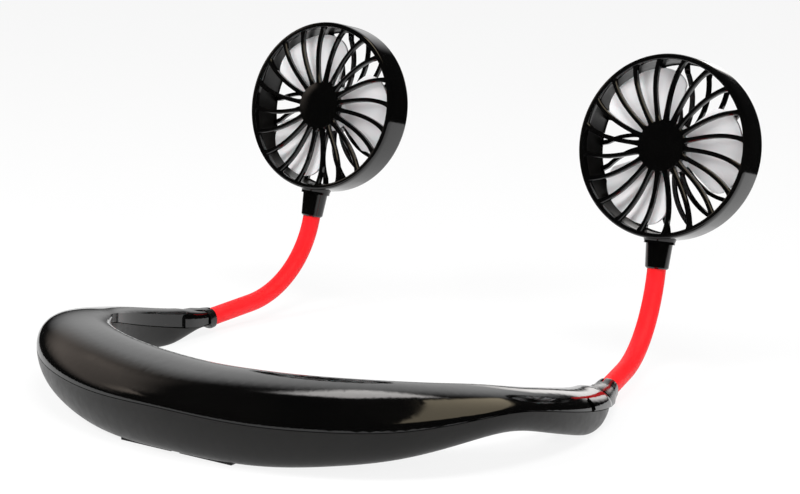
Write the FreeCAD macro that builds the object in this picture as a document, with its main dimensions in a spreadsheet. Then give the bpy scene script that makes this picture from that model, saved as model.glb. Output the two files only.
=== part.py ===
import FreeCAD, Part
import math
import os
import re
from types import SimpleNamespace
from typing import NamedTuple

import Sketcher
from FreeCAD import Placement, Rotation, Vector

# Electric neck fan: a horseshoe band that lies on the shoulders, with a bendable arm and a small fan
# at each end. +Z is up, the band's bend is at -Y, both fans face -Y, and x = 0 is the mirror plane.
# The table is z = 0 and the origin is under the middle of the whole object.

SIZES = (
    ("back_reach", 123.4, "origin to the outer parting line at the back"),
    ("seam_half_width", 110.6, "middle plane to the outer parting line at the band's ends"),
    ("seam_length", 145.0, "outer parting line, back to ends"),
    ("seam_back_sweep", 47.7, "handle of the plan curve at the back"),
    ("seam_side_sweep", 118.5, "handle of the plan curve at the ends"),
    ("seam_flare", -16.5, "outward lean of the band's ends, degrees"),
    ("shell_wall", 1.8, "wall of both shells"),
    ("seam_gap", 0.3, "parting line between the shells"),
    ("ridge_share", 0.70, "place of the upper shell's ridge, outside to inside"),
    ("inner_wall_share", 0.45, "upright part of the upper shell's inner wall"),
    ("flank_share_outside", 0.24, "lower shell's rounded flank, outside"),
    ("flank_share_inside", 0.20, "lower shell's rounded flank, inside"),
    ("back_along", 0.0, "place on the plan curve"),
    ("back_width", 38.0, "plan width"),
    ("back_rise", 10.8, "upper shell above the parting line"),
    ("back_drop", 18.5, "lower shell below the parting line"),
    ("back_seam", 19.5, "parting line above the table"),
    ("quarter_along", 0.25, "place on the plan curve"),
    ("quarter_width", 37.0, "plan width"),
    ("quarter_rise", 12.5, "upper shell above the parting line"),
    ("quarter_drop", 17.1, "lower shell below the parting line"),
    ("quarter_seam", 18.1, "parting line above the table"),
    ("side_along", 0.5, "place on the plan curve"),
    ("side_width", 33.0, "plan width"),
    ("side_rise", 11.7, "upper shell above the parting line"),
    ("side_drop", 12.4, "lower shell below the parting line"),
    ("side_seam", 18.7, "parting line above the table"),
    ("waist_along", 0.72, "place on the plan curve"),
    ("waist_width", 26.5, "plan width"),
    ("waist_rise", 5.6, "upper shell above the parting line"),
    ("waist_drop", 8.7, "lower shell below the parting line"),
    ("waist_seam", 21.7, "parting line above the table"),
    ("pod_along", 0.88, "place on the plan curve"),
    ("pod_width", 20.5, "plan width"),
    ("pod_rise", 7.1, "upper shell above the parting line"),
    ("pod_drop", 9.9, "lower shell below the parting line"),
    ("pod_seam", 13.2, "parting line above the table"),
    ("heel_along", 0.94, "place on the plan curve"),
    ("heel_width", 18.5, "plan width"),
    ("heel_rise", 7.4, "upper shell above the parting line"),
    ("heel_drop", 9.5, "lower shell below the parting line, trimmed flat on the table"),
    ("heel_seam", 9.2, "parting line above the table"),
    ("end_along", 1.0, "place on the plan curve"),
    ("end_width", 16.5, "plan width"),
    ("end_rise", 7.8, "upper shell above the parting line"),
    ("end_drop", 3.3, "lower shell below the parting line"),
    ("end_seam", 5.6, "parting line above the table"),
    ("panel_start", 0.70, "recessed panel of an arm's inner wall, on the plan curve"),
    ("panel_stop", 0.98, "recessed panel of an arm's inner wall, on the plan curve"),
    ("panel_depth", 0.9, "recessed panel below the inner wall"),
    ("latch_along", 0.91, "latch window on the plan curve"),
    ("latch_length", 4.2, "latch window along the band"),
    ("latch_height", 4.4, "latch window above the parting line"),
    ("section_spacing", 0.15, "longest stretch of the plan curve without a cross-section"),
    ("tip_seam", 2.5, "parting line below the arm's axis at the collar"),
    ("tip_width", 12.0, "plan width at the collar"),
    ("tip_rise", 8.3, "upper shell above the parting line"),
    ("tip_drop", 3.4, "lower shell below the parting line"),
    ("pad_length", 24.0, "foot pad along the band"),
    ("pad_width", 5.0, "foot pad across the band"),
    ("pad_thickness", 2.2, "foot pad"),
    ("pad_setback", 10.0, "outer parting line to the foot pad's outer edge"),
    ("pad_spacing", 4.0, "gap between the two foot pads"),
    ("pad_clearance", 0.1, "foot pad to its recess"),
    ("collar_x", 99.2, "middle plane to the collar's mouth"),
    ("collar_reach", 160.8, "outer parting line at the back to the collar's mouth"),
    ("collar_height", 6.8, "table to the collar's mouth"),
    ("collar_length", 6.3, "collar along the arm"),
    ("collar_back_radius", 5.8, "collar at the band"),
    ("collar_mouth_radius", 5.0, "collar at its mouth"),
    ("collar_slit", 1.8, "width of the collar's slit"),
    ("collar_slit_turn", 35.0, "slit's lean from the top towards the inside, degrees"),
    ("collar_gap", 0.1, "collar to the band's tip"),
    ("arm_inward", 9.2, "inward lean of the arm in plan, degrees"),
    ("arm_start_rise", 5.8, "slope of the arm at the collar, degrees"),
    ("arm_turn", 71.8, "bend of the arm at rest, degrees"),
    ("arm_run", 20.5, "straight stretch from the collar's mouth"),
    ("arm_radius", 45.1, "bend radius of the arm"),
    ("sleeve_radius", 4.0, "outside of the silicone sleeve"),
    ("sleeve_bore_radius", 2.75, "inside of the silicone sleeve"),
    ("sleeve_root", 6.6, "sleeve behind the collar's mouth"),
    ("sleeve_seat", 5.0, "sleeve inside the neck"),
    ("sleeve_clearance", 0.15, "sleeve to the collar, the shells and the neck"),
    ("core_radius", 2.6, "bendable core"),
    ("core_root", 9.0, "core behind the collar's mouth"),
    ("core_seat", 9.0, "core inside the neck"),
    ("core_gap", 0.8, "core's end to the sway axis"),
    ("bend_gap", 1.05, "core's end to the middle of each bend, degrees on the arc"),
    ("sway_ahead", 1.5, "collar's mouth to the sway axis"),
    ("bend_low_turn", 13.0, "first bend's place on the arc, degrees"),
    ("bend_mid_turn", 36.0, "second bend's place on the arc, degrees"),
    ("bend_high_turn", 59.0, "third bend's place on the arc, degrees"),
    ("neck_foot_radius", 5.0, "neck at the sleeve"),
    ("neck_top_radius", 5.7, "neck under its flange"),
    ("neck_foot_chamfer", 0.6, "chamfer round the neck's foot"),
    ("neck_height", 10.6, "neck below its flange"),
    ("neck_flange_radius", 6.6, "flange"),
    ("neck_flange_height", 1.2, "flange"),
    ("spigot_radius", 3.5, "swivel spigot on the neck"),
    ("spigot_height", 2.8, "swivel spigot above the flange"),
    ("swivel_gap", 0.3, "flange to the head's boss"),
    ("spigot_clearance", 0.05, "spigot to the boss's bore"),
    ("wire_bore_radius", 1.6, "wire way through the neck"),
    ("drum_radius", 39.0, "outside of the fan head"),
    ("drum_bore_radius", 36.6, "inside of the drum"),
    ("drum_depth", 17.0, "fan head, front rim to back"),
    ("rim_depth", 3.0, "front grille's rim"),
    ("drum_back_round", 3.0, "rounded back edge of the drum"),
    ("rim_round", 0.9, "rounded front edge of the rim"),
    ("rear_lip_radius", 34.2, "inside of the drum's back lip"),
    ("grille_thickness", 1.8, "spokes along the fan's axis"),
    ("boss_radius", 5.2, "boss under the drum"),
    ("boss_cover", 0.5, "drum's wall inside the boss"),
    ("hub_radius", 11.0, "hub discs of both grilles"),
    ("hub_thickness", 2.0, "front hub disc"),
    ("spoke_count", 22, "spokes of the front grille"),
    ("rear_spoke_count", 20, "spokes of the rear grille"),
    ("spoke_width", 1.7, "spoke"),
    ("spoke_bend", 29.0, "bend radius of a spoke"),
    ("spoke_root_radius", 10.2, "a spoke's inner end"),
    ("spoke_tip_radius", 37.4, "a front spoke's outer end"),
    ("rear_spoke_tip_radius", 35.0, "a rear spoke's outer end"),
    ("cap_radius", 10.6, "hub cap"),
    ("cap_edge", 0.6, "hub cap's rim"),
    ("cap_dome", 1.0, "hub cap's dome above its rim"),
    ("motor_radius", 9.5, "motor can"),
    ("motor_length", 10.0, "motor can"),
    ("motor_clearance", 0.1, "motor can to its cup"),
    ("cup_depth", 4.4, "motor cup"),
    ("cup_floor", 1.5, "motor cup's floor"),
    ("shaft_radius", 1.0, "motor shaft"),
    ("shaft_bearing", 4.5, "shaft inside the motor"),
    ("shaft_clearance", 0.05, "shaft to the motor's bearing"),
    ("shaft_grip", 0.02, "shaft to the impeller's bore"),
    ("shaft_end", 0.5, "shaft's ends to the ends of their bores"),
    ("impeller_gap", 0.7, "impeller to the front grille and the motor"),
    ("impeller_hub_radius", 11.0, "impeller's hub"),
    ("impeller_hub_bore", 10.0, "inside of the impeller's hub"),
    ("impeller_hub_depth", 7.4, "impeller's hub"),
    ("impeller_face", 2.0, "impeller's front face"),
    ("blade_count", 3, "impeller's blades"),
    ("blade_tip_radius", 34.4, "impeller's blades"),
    ("blade_root_radius", 10.5, "blade's inner end, inside the hub"),
    ("blade_half_angle", 39.0, "half the blade's spread, degrees"),
    ("blade_pitch_rise", 6.4, "blade's rise from edge to edge"),
    ("blade_thickness", 1.2, "impeller's blades"),
    ("blade_corner", 7.0, "rounding of the blade's outer corners"),
    ("cell_radius", 7.0, "battery cell"),
    ("cell_length", 50.0, "battery cell"),
    ("cell_along", 0.2, "battery cell's middle on the plan curve"),
    ("cell_rest", 4.0, "battery cell above the floor"),
    ("cell_clearance", 0.1, "battery cell to its saddles"),
    ("saddle_spread", 30.0, "between a cell's two saddles"),
    ("saddle_thickness", 2.5, "battery saddle"),
    ("screw_radius", 1.0, "case screw's shank"),
    ("screw_length", 8.0, "case screw's shank"),
    ("screw_head_radius", 2.0, "case screw's head"),
    ("screw_head_height", 1.5, "case screw's head"),
    ("screw_seat", 5.0, "screw head below the parting line"),
    ("screw_clearance", 0.05, "screw to its hole"),
    ("post_radius", 3.0, "screw post"),
    ("screw_side_along", 0.42, "side screw on the plan curve"),
    ("screw_pod_along", 0.86, "pod screw on the plan curve"),
    ("board_along", 0.58, "circuit board's middle on the plan curve"),
    ("board_length", 31.0, "circuit board along the band"),
    ("board_width", 16.5, "circuit board across the band"),
    ("board_thickness", 1.6, "circuit board"),
    ("board_setback", 8.3, "outer parting line to the board's edge"),
    ("board_drop", 3.4, "parting line to the board's top"),
    ("board_clearance", 0.05, "circuit board to its ribs"),
    ("board_rib", 2.0, "rib under the board"),
    ("board_rib_spread", 24.0, "between the board's two ribs"),
    ("button_radius", 2.6, "power button"),
    ("button_proud", 1.0, "button outside the inner wall"),
    ("button_flange_radius", 3.4, "button's flange inside the wall"),
    ("button_flange", 1.0, "button's flange"),
    ("button_clearance", 0.3, "button to its hole"),
    ("button_flange_gap", 2.0, "button's flange to the wall"),
    ("button_travel", 0.6, "press of the button"),
    ("switch_length", 6.0, "power switch along the band"),
    ("switch_depth", 4.0, "power switch across the band"),
    ("switch_plunger_radius", 1.5, "power switch's plunger"),
    ("switch_plunger", 1.0, "power switch's plunger"),
    ("switch_gap", 0.1, "pressed button to the switch's plunger"),
    ("switch_height", 5.2, "power switch"),
    ("socket_ahead", 11.0, "button to the charging socket, along the band"),
    ("socket_width", 7.6, "charging socket along the band"),
    ("socket_height", 2.8, "charging socket"),
    ("socket_depth", 6.0, "charging socket across the band"),
    ("socket_wall", 0.4, "charging socket's shell"),
    ("socket_clearance", 0.3, "charging socket to its slot"),
    ("light_behind", 10.0, "button to the status light, along the band"),
    ("light_radius", 1.1, "status light's pipe"),
    ("light_clearance", 0.1, "status light to its hole"),
)
STATIONS = ("back", "quarter", "side", "waist", "pod", "heel", "end")
SIDES = {"right": 1, "left": -1}
ROUND = 0.5523  # handle of a curve that makes a quarter round
BLADE_STRIPS = 7  # radial strips that a twisted blade runs through
PANEL_SECTIONS = 6  # along an arm's inner panel
UP = Vector(0, 0, 1)

doc = FreeCAD.newDocument("neck_fan")
sheet = doc.addObject("Spreadsheet::Sheet", "Sizes")
for row, (alias, value, meaning) in enumerate(SIZES, start=1):
    sheet.set(f"A{row}", meaning)
    sheet.set(f"B{row}", str(value))
    sheet.setAlias(f"B{row}", alias)
doc.recompute()
S = SimpleNamespace(**{alias: float(sheet.get(alias)) for alias, _, _ in SIZES})
nodes = []


def bind(obj, **sizes):
    """Tie an object's properties to the sheet; each size is a formula of aliases."""
    for prop, formula in sizes.items():
        tied = re.sub(r"[a-z][a-z_]*", lambda word: "Sizes." + word.group(), formula)
        obj.setExpression(prop.replace("__", "."), tied)
    return obj


def keep(obj, label):
    """Name an object as a node of the part."""
    obj.Label = label
    nodes.append(obj)
    return obj


def cylinder(name, place, **sizes):
    obj = bind(doc.addObject("Part::Cylinder", name), **sizes)
    obj.Placement = place
    return obj


def block(name, place, **sizes):
    obj = bind(doc.addObject("Part::Box", name), **sizes)
    obj.Placement = place
    return obj


def cut(name, base, *tools):
    """Take each tool from the base in turn."""
    for number, tool in enumerate(tools):
        step = doc.addObject("Part::Cut", f"{name}_cut{number}")
        step.Base, step.Tool = base, tool
        base = step
    return base


def fuse(name, *shapes):
    joined = doc.addObject("Part::MultiFuse", name)
    joined.Shapes = list(shapes)
    return joined


def group(name, *shapes):
    together = doc.addObject("Part::Compound", name)
    together.Links = list(shapes)
    return together


def frame(base, x_axis, y_axis, z_axis):
    """Placement whose local axes are the three given directions."""
    return Placement(base, Rotation(x_axis, y_axis, z_axis, "ZXY"))


def moved(place, x=0.0, y=0.0, z=0.0):
    """A placement shifted along its own axes."""
    return place.multiply(Placement(Vector(x, y, z), Rotation()))


# The band's plan curve and its cross-sections
seam_start = Vector(0, -S.back_reach, 0)
seam_stop = Vector(S.seam_half_width, S.seam_length - S.back_reach, 0)
flare = math.radians(S.seam_flare)
seam_poles = (
    seam_start,
    seam_start + Vector(S.seam_back_sweep, 0, 0),
    seam_stop - Vector(math.sin(flare), math.cos(flare), 0) * S.seam_side_sweep,
    seam_stop,
)
seam_curve = Part.BezierCurve()
seam_curve.setPoles(list(seam_poles))

arm_plan = math.radians(S.arm_inward)
arm_slope = math.radians(S.arm_start_rise)


def mirror(vector, side):
    return Vector(vector.x * side, vector.y, vector.z)


def arm_axes(side, turn=0.0):
    """Tangent, bend normal and plane normal of an arm, after a bend of some degrees."""
    ahead = mirror(Vector(-math.sin(arm_plan), math.cos(arm_plan), 0), side)
    slope = arm_slope + math.radians(turn)
    tangent = ahead * math.cos(slope) + UP * math.sin(slope)
    normal = UP * math.cos(slope) - ahead * math.sin(slope)
    return tangent, normal, tangent.cross(normal)


def arm_point(side, along):
    """A point on the straight stretch, measured from the collar's mouth."""
    mouth = Vector(S.collar_x, S.collar_reach - S.back_reach, S.collar_height)
    return mirror(mouth, side) + arm_axes(side)[0] * along


def bend_centre(side):
    return arm_point(side, S.arm_run) + arm_axes(side)[1] * S.arm_radius


def bend_point(side, turn):
    """A point on the arm's bend."""
    return bend_centre(side) - arm_axes(side, turn)[1] * S.arm_radius


def between(size, along):
    """A size of the band at any place on the plan curve, on a smooth line through the stations."""
    places = [getattr(S, f"{name}_along") for name in STATIONS]
    values = [getattr(S, f"{name}_{size}") for name in STATIONS]
    slopes = [0.0]
    for last in range(2, len(places)):
        slopes.append((values[last] - values[last - 2]) / (places[last] - places[last - 2]))
    slopes.append((values[-1] - values[-2]) / (places[-1] - places[-2]))
    first = max(number for number in range(len(places) - 1) if places[number] <= along)
    span = places[first + 1] - places[first]
    share = (along - places[first]) / span
    ease = share * share * (3 - 2 * share)
    start_pull = share * (1 - share) ** 2 * span * slopes[first]
    stop_pull = share * share * (share - 1) * span * slopes[first + 1]
    return values[first] * (1 - ease) + values[first + 1] * ease + start_pull + stop_pull


class Section(NamedTuple):
    """A cross-section's frame on the outer parting line, and its sizes."""

    outer: Vector
    inward: Vector
    up: Vector
    width: float
    rise: float
    drop: float

    def at(self, across, height):
        return self.outer + self.inward * across + self.up * height


def station(along, side):
    """Cross-section at a place on the plan curve."""
    tangent = seam_curve.tangent(along)[0]
    return Section(
        outer=mirror(seam_curve.value(along), side) + UP * between("seam", along),
        inward=mirror(Vector(-tangent.y, tangent.x, 0), side),
        up=UP,
        width=between("width", along),
        rise=between("rise", along),
        drop=between("drop", along),
    )


def tip_station(side):
    """Cross-section at the collar, square to the arm."""
    tangent, normal, plane = arm_axes(side)
    inward = plane * -side
    middle = arm_point(side, -S.collar_length - S.collar_gap)
    return Section(
        outer=middle - inward * (S.tip_width / 2) - normal * S.tip_seam,
        inward=inward,
        up=normal,
        width=S.tip_width,
        rise=S.tip_rise,
        drop=S.tip_drop,
    )


def quarter_round(start, corner, stop):
    """A rounded corner between two sides."""
    curve = Part.BezierCurve()
    curve.setPoles([start, start + (corner - start) * ROUND, stop + (corner - stop) * ROUND, stop])
    return curve.toShape()


def straight(start, stop):
    return Part.LineSegment(start, stop).toShape()


def upper_section(st):
    at = st.at
    low = S.seam_gap / 2
    ridge = S.ridge_share * st.width
    shoulder = S.inner_wall_share * st.rise
    outer, top = at(0, low), at(ridge, st.rise)
    inner, foot = at(st.width, shoulder), at(st.width, low)
    return Part.Wire([
        quarter_round(outer, at(0, st.rise), top),
        quarter_round(top, at(st.width, st.rise), inner),
        straight(inner, foot),
        straight(foot, outer),
    ])


def lower_section(st):
    at = st.at
    high = -S.seam_gap / 2
    outer_floor = at(S.flank_share_outside * st.width, -st.drop)
    inner_floor = at((1 - S.flank_share_inside) * st.width, -st.drop)
    outer, inner = at(0, high), at(st.width, high)
    return Part.Wire([
        quarter_round(outer, at(0, -st.drop), outer_floor),
        straight(outer_floor, inner_floor),
        quarter_round(inner_floor, at(st.width, -st.drop), inner),
        straight(inner, outer),
    ])


def cavity_section(st):
    wall = S.shell_wall
    width = st.width - 2 * wall
    at = Section(st.outer + st.inward * wall, st.inward, st.up, width, st.rise, st.drop).at
    rise, drop = st.rise - wall, st.drop - wall
    outer, top = at(0, 0), at(S.ridge_share * width, rise)
    shoulder, inner = at(width, S.inner_wall_share * rise), at(width, 0)
    inner_floor = at((1 - S.flank_share_inside) * width, -drop)
    outer_floor = at(S.flank_share_outside * width, -drop)
    return Part.Wire([
        quarter_round(outer, at(0, rise), top),
        quarter_round(top, at(width, rise), shoulder),
        straight(shoulder, inner),
        quarter_round(inner, at(width, -drop), inner_floor),
        straight(inner_floor, outer_floor),
        quarter_round(outer_floor, at(0, -drop), outer),
    ])


def band_loft(name, section):
    """A solid through the cross-sections, from the left end round the back to the right end."""
    stops = [getattr(S, f"{place}_along") for place in STATIONS]
    halfway = [(a + b) / 2 for a, b in zip(stops, stops[1:]) if b - a > S.section_spacing]
    places = sorted(stops + halfway)
    left = [station(along, -1) for along in reversed(places[1:])]
    right = [station(along, 1) for along in places]
    stations = [tip_station(-1)] + left + right + [tip_station(1)]
    form = doc.addObject("Part::Feature", name)
    form.Shape = Part.makeLoft([section(st) for st in stations], True, False)
    return form


def band_frame(along, side=1):
    """Frame on the outer parting line: x along the band, y inward, z up."""
    outer = mirror(seam_curve.value(along), side)
    tangent = seam_curve.tangent(along)[0]
    inward = mirror(Vector(-tangent.y, tangent.x, 0), side)
    return frame(outer + UP * between("seam", along), inward.cross(UP), inward, UP)


def inner_panel(name, side):
    """A band that is taken from the upper shell's inner wall along one arm."""
    sections = []
    for number in range(PANEL_SECTIONS + 1):
        st = station(S.panel_start + (S.panel_stop - S.panel_start) * number / PANEL_SECTIONS, side)
        near, far = st.width - S.panel_depth, st.width + S.panel_depth
        corners = [st.at(near, 0), st.at(far, 0), st.at(far, st.rise), st.at(near, st.rise)]
        sections.append(Part.makePolygon(corners + corners[:1]))
    form = doc.addObject("Part::Feature", name)
    form.Shape = Part.makeLoft(sections, True, False)
    return form


upper_form = band_loft("upper_form", upper_section)
lower_form = band_loft("lower_form", lower_section)
tips = block(
    "solid_tips", Placement(Vector(-2 * S.seam_half_width, seam_stop.y, -S.back_seam), Rotation()),
    Length="seam_half_width * 4", Width="seam_length", Height="back_seam * 4")
cavity_form = cut("cavity", band_loft("cavity_form", cavity_section), tips)

# Battery cells, one each side of the middle, lying in saddles of the lower shell
floor_height = S.back_seam - S.back_drop + S.shell_wall
cell_height = floor_height + S.cell_rest + S.cell_radius
cells, cell_rooms, saddles = [], [], []
for side_name, side in SIDES.items():
    middle = band_frame(S.cell_along, side)
    middle = moved(middle, y=between("width", S.cell_along) / 2)
    middle.Base.z = cell_height
    along_band = middle.Rotation.multVec(Vector(1, 0, 0))
    lying = frame(middle.Base - along_band * (S.cell_length / 2), UP, along_band.cross(UP), along_band)
    cells.append(cylinder(f"cell_{side_name}", lying, Radius="cell_radius", Height="cell_length"))
    cell_rooms.append(cylinder(
        f"cell_room_{side_name}", lying, Radius="cell_radius + cell_clearance", Height="cell_length"))
    for number, way in enumerate((-1, 1)):
        corner = moved(middle, x=way * S.saddle_spread / 2 - S.saddle_thickness / 2, y=-S.back_width / 2)
        corner.Base.z = 0
        saddles.append(block(
            f"saddle_{side_name}_{number}", corner, Length="saddle_thickness", Width="back_width",
            Height="back_seam - back_drop + shell_wall + cell_rest + cell_radius / 2"))
keep(group("battery_cells", *cells), "battery_cells")

# Circuit board on two ribs in the right arm, with the parts that reach the inner wall
board_frame = band_frame(S.board_along)
board_seam = board_frame.Base.z
wall_inside = between("width", S.board_along) - S.shell_wall
board_place = moved(board_frame, -S.board_length / 2, S.board_setback, -S.board_drop - S.board_thickness)
board = block("board", board_place, Length="board_length", Width="board_width", Height="board_thickness")
keep(board, "circuit_board")
board_ribs = []
for number, way in enumerate((-1, 1)):
    corner = moved(board_frame, way * S.board_rib_spread / 2 - S.board_rib / 2, 0)
    corner.Base.z = 0
    rib = block(f"board_rib_{number}", corner, Length="board_rib", Width="waist_width")
    rib.Height = board_place.Base.z - S.board_clearance
    board_ribs.append(rib)

switch_face = wall_inside - S.button_flange_gap - S.button_flange - S.button_travel
switch_face -= S.switch_plunger + S.switch_gap
switch_place = moved(board_frame, -S.switch_length / 2, switch_face - S.switch_depth, -S.board_drop)
switch_body = block(
    "switch_body", switch_place, Length="switch_length", Width="switch_depth",
    Height="switch_height")
inward_frame = frame(
    board_frame.Base, board_frame.Rotation.multVec(Vector(1, 0, 0)) * -1, UP,
    board_frame.Rotation.multVec(Vector(0, 1, 0)))
plunger = cylinder(
    "switch_plunger", moved(inward_frame, z=switch_face), Radius="switch_plunger_radius",
    Height="switch_plunger")
keep(fuse("power_switch", switch_body, plunger), "power_switch")

flange_back = wall_inside - S.button_flange_gap - S.button_flange
button_flange = cylinder(
    "button_flange", moved(inward_frame, z=flange_back), Radius="button_flange_radius",
    Height="button_flange")
button_cap = cylinder(
    "button_cap", moved(inward_frame, z=flange_back), Radius="button_radius",
    Height="button_flange + button_flange_gap + shell_wall + button_proud")
keep(fuse("power_button", button_flange, button_cap), "power_button")
button_hole = cylinder(
    "button_hole", moved(inward_frame, z=wall_inside - S.shell_wall),
    Radius="button_radius + button_clearance", Height="shell_wall * 4")

socket_place = moved(
    board_frame, S.socket_ahead - S.socket_width / 2,
    wall_inside + S.shell_wall / 2 - S.socket_depth, -S.board_drop)
socket_shell = block(
    "socket_shell", socket_place, Length="socket_width", Width="socket_depth", Height="socket_height")
socket_mouth = block(
    "socket_mouth", moved(socket_place, S.socket_wall, S.socket_wall * 2, S.socket_wall),
    Length="socket_width - 2 * socket_wall", Width="socket_depth",
    Height="socket_height - 2 * socket_wall")
socket_tongue = block(
    "socket_tongue", moved(socket_place, S.socket_wall * 4, S.socket_wall, S.socket_height / 2),
    Length="socket_width - 8 * socket_wall", Width="socket_depth - 3 * socket_wall",
    Height="socket_wall")
keep(fuse("charging_socket", cut("socket", socket_shell, socket_mouth), socket_tongue), "charging_socket")
socket_slot = block(
    "socket_slot",
    moved(socket_place, -S.socket_clearance, S.socket_depth - S.shell_wall * 2, -S.socket_clearance),
    Length="socket_width + 2 * socket_clearance", Width="shell_wall * 5",
    Height="socket_height + 2 * socket_clearance")

light_frame = moved(inward_frame, x=S.light_behind)
light_pipe = cylinder(
    "light_pipe", moved(light_frame, z=switch_face), Radius="light_radius",
    Height="switch_plunger + button_travel + button_flange + button_flange_gap + 2 * shell_wall")
light_post = block(
    "light_post",
    moved(board_frame, -S.light_behind - S.light_radius, switch_face - S.switch_depth / 2, -S.board_drop),
    Length="light_radius * 2", Width="switch_depth / 2 + switch_plunger",
    Height="board_drop + light_radius")
keep(fuse("status_light", light_pipe, light_post), "status_light")
light_hole = cylinder(
    "light_hole", moved(light_frame, z=wall_inside - S.shell_wall),
    Radius="light_radius + light_clearance", Height="shell_wall * 4")

# Case screws, from below into posts that both shells share
screw_places = [band_frame(0.0)]
for along in (S.screw_side_along, S.screw_pod_along):
    screw_places += [band_frame(along, side) for side in SIDES.values()]
screw_alongs = [0.0] + [S.screw_side_along] * 2 + [S.screw_pod_along] * 2
screws, posts, head_rooms, shank_rooms = [], [], [], []
for number, (place, along) in enumerate(zip(screw_places, screw_alongs)):
    axis = moved(place, y=between("width", along) / 2)
    seat = moved(axis, z=-S.screw_seat)
    shank = cylinder(f"screw_shank_{number}", seat, Radius="screw_radius", Height="screw_length")
    head = cylinder(
        f"screw_head_{number}", moved(seat, z=-S.screw_head_height), Radius="screw_head_radius",
        Height="screw_head_height")
    screws.append(fuse(f"screw_{number}", shank, head))
    post = cylinder(f"post_{number}", moved(axis, z=-axis.Base.z), Radius="post_radius")
    bind(post, Height="back_seam + back_rise * 2")
    posts.append(post)
    head_room = cylinder(
        f"head_room_{number}", moved(axis, z=-axis.Base.z - S.shell_wall),
        Radius="screw_head_radius + 4 * screw_clearance")
    head_room.Height = axis.Base.z + S.shell_wall - S.screw_seat
    head_rooms.append(head_room)
    shank_rooms.append(cylinder(
        f"shank_room_{number}", moved(seat, z=-S.screw_head_height / 2),
        Radius="screw_radius + screw_clearance", Height="screw_length + screw_head_height"))
keep(group("case_screws", *screws), "case_screws")

# Foot pads, set into the floor of the lower shell
pads, pad_recesses = [], []
for side_name, side in SIDES.items():
    near = S.pad_spacing / 2
    corner = Vector(near if side > 0 else -near - S.pad_length, S.pad_setback - S.back_reach, 0)
    pads.append(block(
        f"pad_{side_name}", Placement(corner, Rotation()), Length="pad_length", Width="pad_width",
        Height="pad_thickness"))
    gap = Vector(S.pad_clearance, S.pad_clearance, S.pad_thickness)
    pad_recesses.append(block(
        f"pad_recess_{side_name}", Placement(corner - gap, Rotation()),
        Length="pad_length + 2 * pad_clearance", Width="pad_width + 2 * pad_clearance",
        Height="pad_thickness * 2"))
keep(group("foot_pads", *pads), "foot_pads")

# Both shells: the outer form less the cavity that ribs, saddles and posts stand in
saddle_forms = []
for number, saddle in enumerate(saddles):
    saddle_forms.append(cut(f"saddle_form_{number}", saddle, cell_rooms[number // 2]))
room = cut("room", cavity_form, *saddle_forms, *board_ribs, *posts)
arm_rooms = []
for side_name, side in SIDES.items():
    tangent, normal, plane = arm_axes(side)
    for name, root in (("sleeve", S.sleeve_root), ("core", S.core_root)):
        start = arm_point(side, -root - S.sleeve_clearance)
        arm_rooms.append(cylinder(
            f"{name}_room_{side_name}", frame(start, normal, plane, tangent),
            Radius=f"{name}_radius + sleeve_clearance", Height=f"{name}_root + sleeve_clearance"))
panels, latches = [], []
for side_name, side in SIDES.items():
    panels.append(inner_panel(f"inner_panel_{side_name}", side))
    latches.append(block(
        f"latch_window_{side_name}", moved(band_frame(S.latch_along, side), -S.latch_length / 2, -S.shell_wall),
        Length="latch_length", Width="shell_wall * 3", Height="latch_height"))
upper_shell = cut(
    "upper_shell", upper_form, room, *arm_rooms, *shank_rooms, button_hole, light_hole, *panels, *latches)
keep(upper_shell, "upper_shell")
table_cut = doc.addObject("Part::Box", "table_cut")
bind(table_cut, Length="seam_half_width * 4", Width="seam_length * 4", Height="back_seam")
table_cut.Placement.Base = Vector(-S.seam_half_width * 2, -S.seam_length * 2, -S.back_seam)
lower_shell = cut(
    "lower_shell", lower_form, room, *arm_rooms, *shank_rooms, *head_rooms, *pad_recesses,
    button_hole, light_hole, socket_slot, table_cut)
keep(lower_shell, "lower_shell")


# Arms: a bendable core in five lengths inside one silicone sleeve
def straight_length(name, side, start, radius, length):
    """A round bar along the arm's straight stretch."""
    tangent, normal, plane = arm_axes(side)
    place = frame(arm_point(side, start), normal, plane, tangent)
    return cylinder(name, place, Radius=radius, Height=length)


def bent_length(name, side, start, radius, turn):
    """A round bar along the arm's bend."""
    tangent, normal, plane = arm_axes(side, start)
    bar = bind(
        doc.addObject("Part::Torus", name), Radius1="arm_radius", Radius2=radius, Angle3=turn)
    bar.Placement = frame(bend_centre(side), normal * -1, tangent, plane)
    return bar


def end_length(name, side, radius, length):
    """A round bar past the bend, into the neck."""
    tangent, normal, plane = arm_axes(side, S.arm_turn)
    place = frame(bend_point(side, S.arm_turn), normal, plane, tangent)
    return cylinder(name, place, Radius=radius, Height=length)


def arm_tube(name, side, radius, root, seat):
    """The whole arm as one bar."""
    return fuse(
        name,
        straight_length(f"{name}_run", side, -getattr(S, root), radius, f"{root} + arm_run"),
        bent_length(f"{name}_bend", side, 0, radius, "arm_turn"),
        end_length(f"{name}_end", side, radius, seat),
    )


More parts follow.
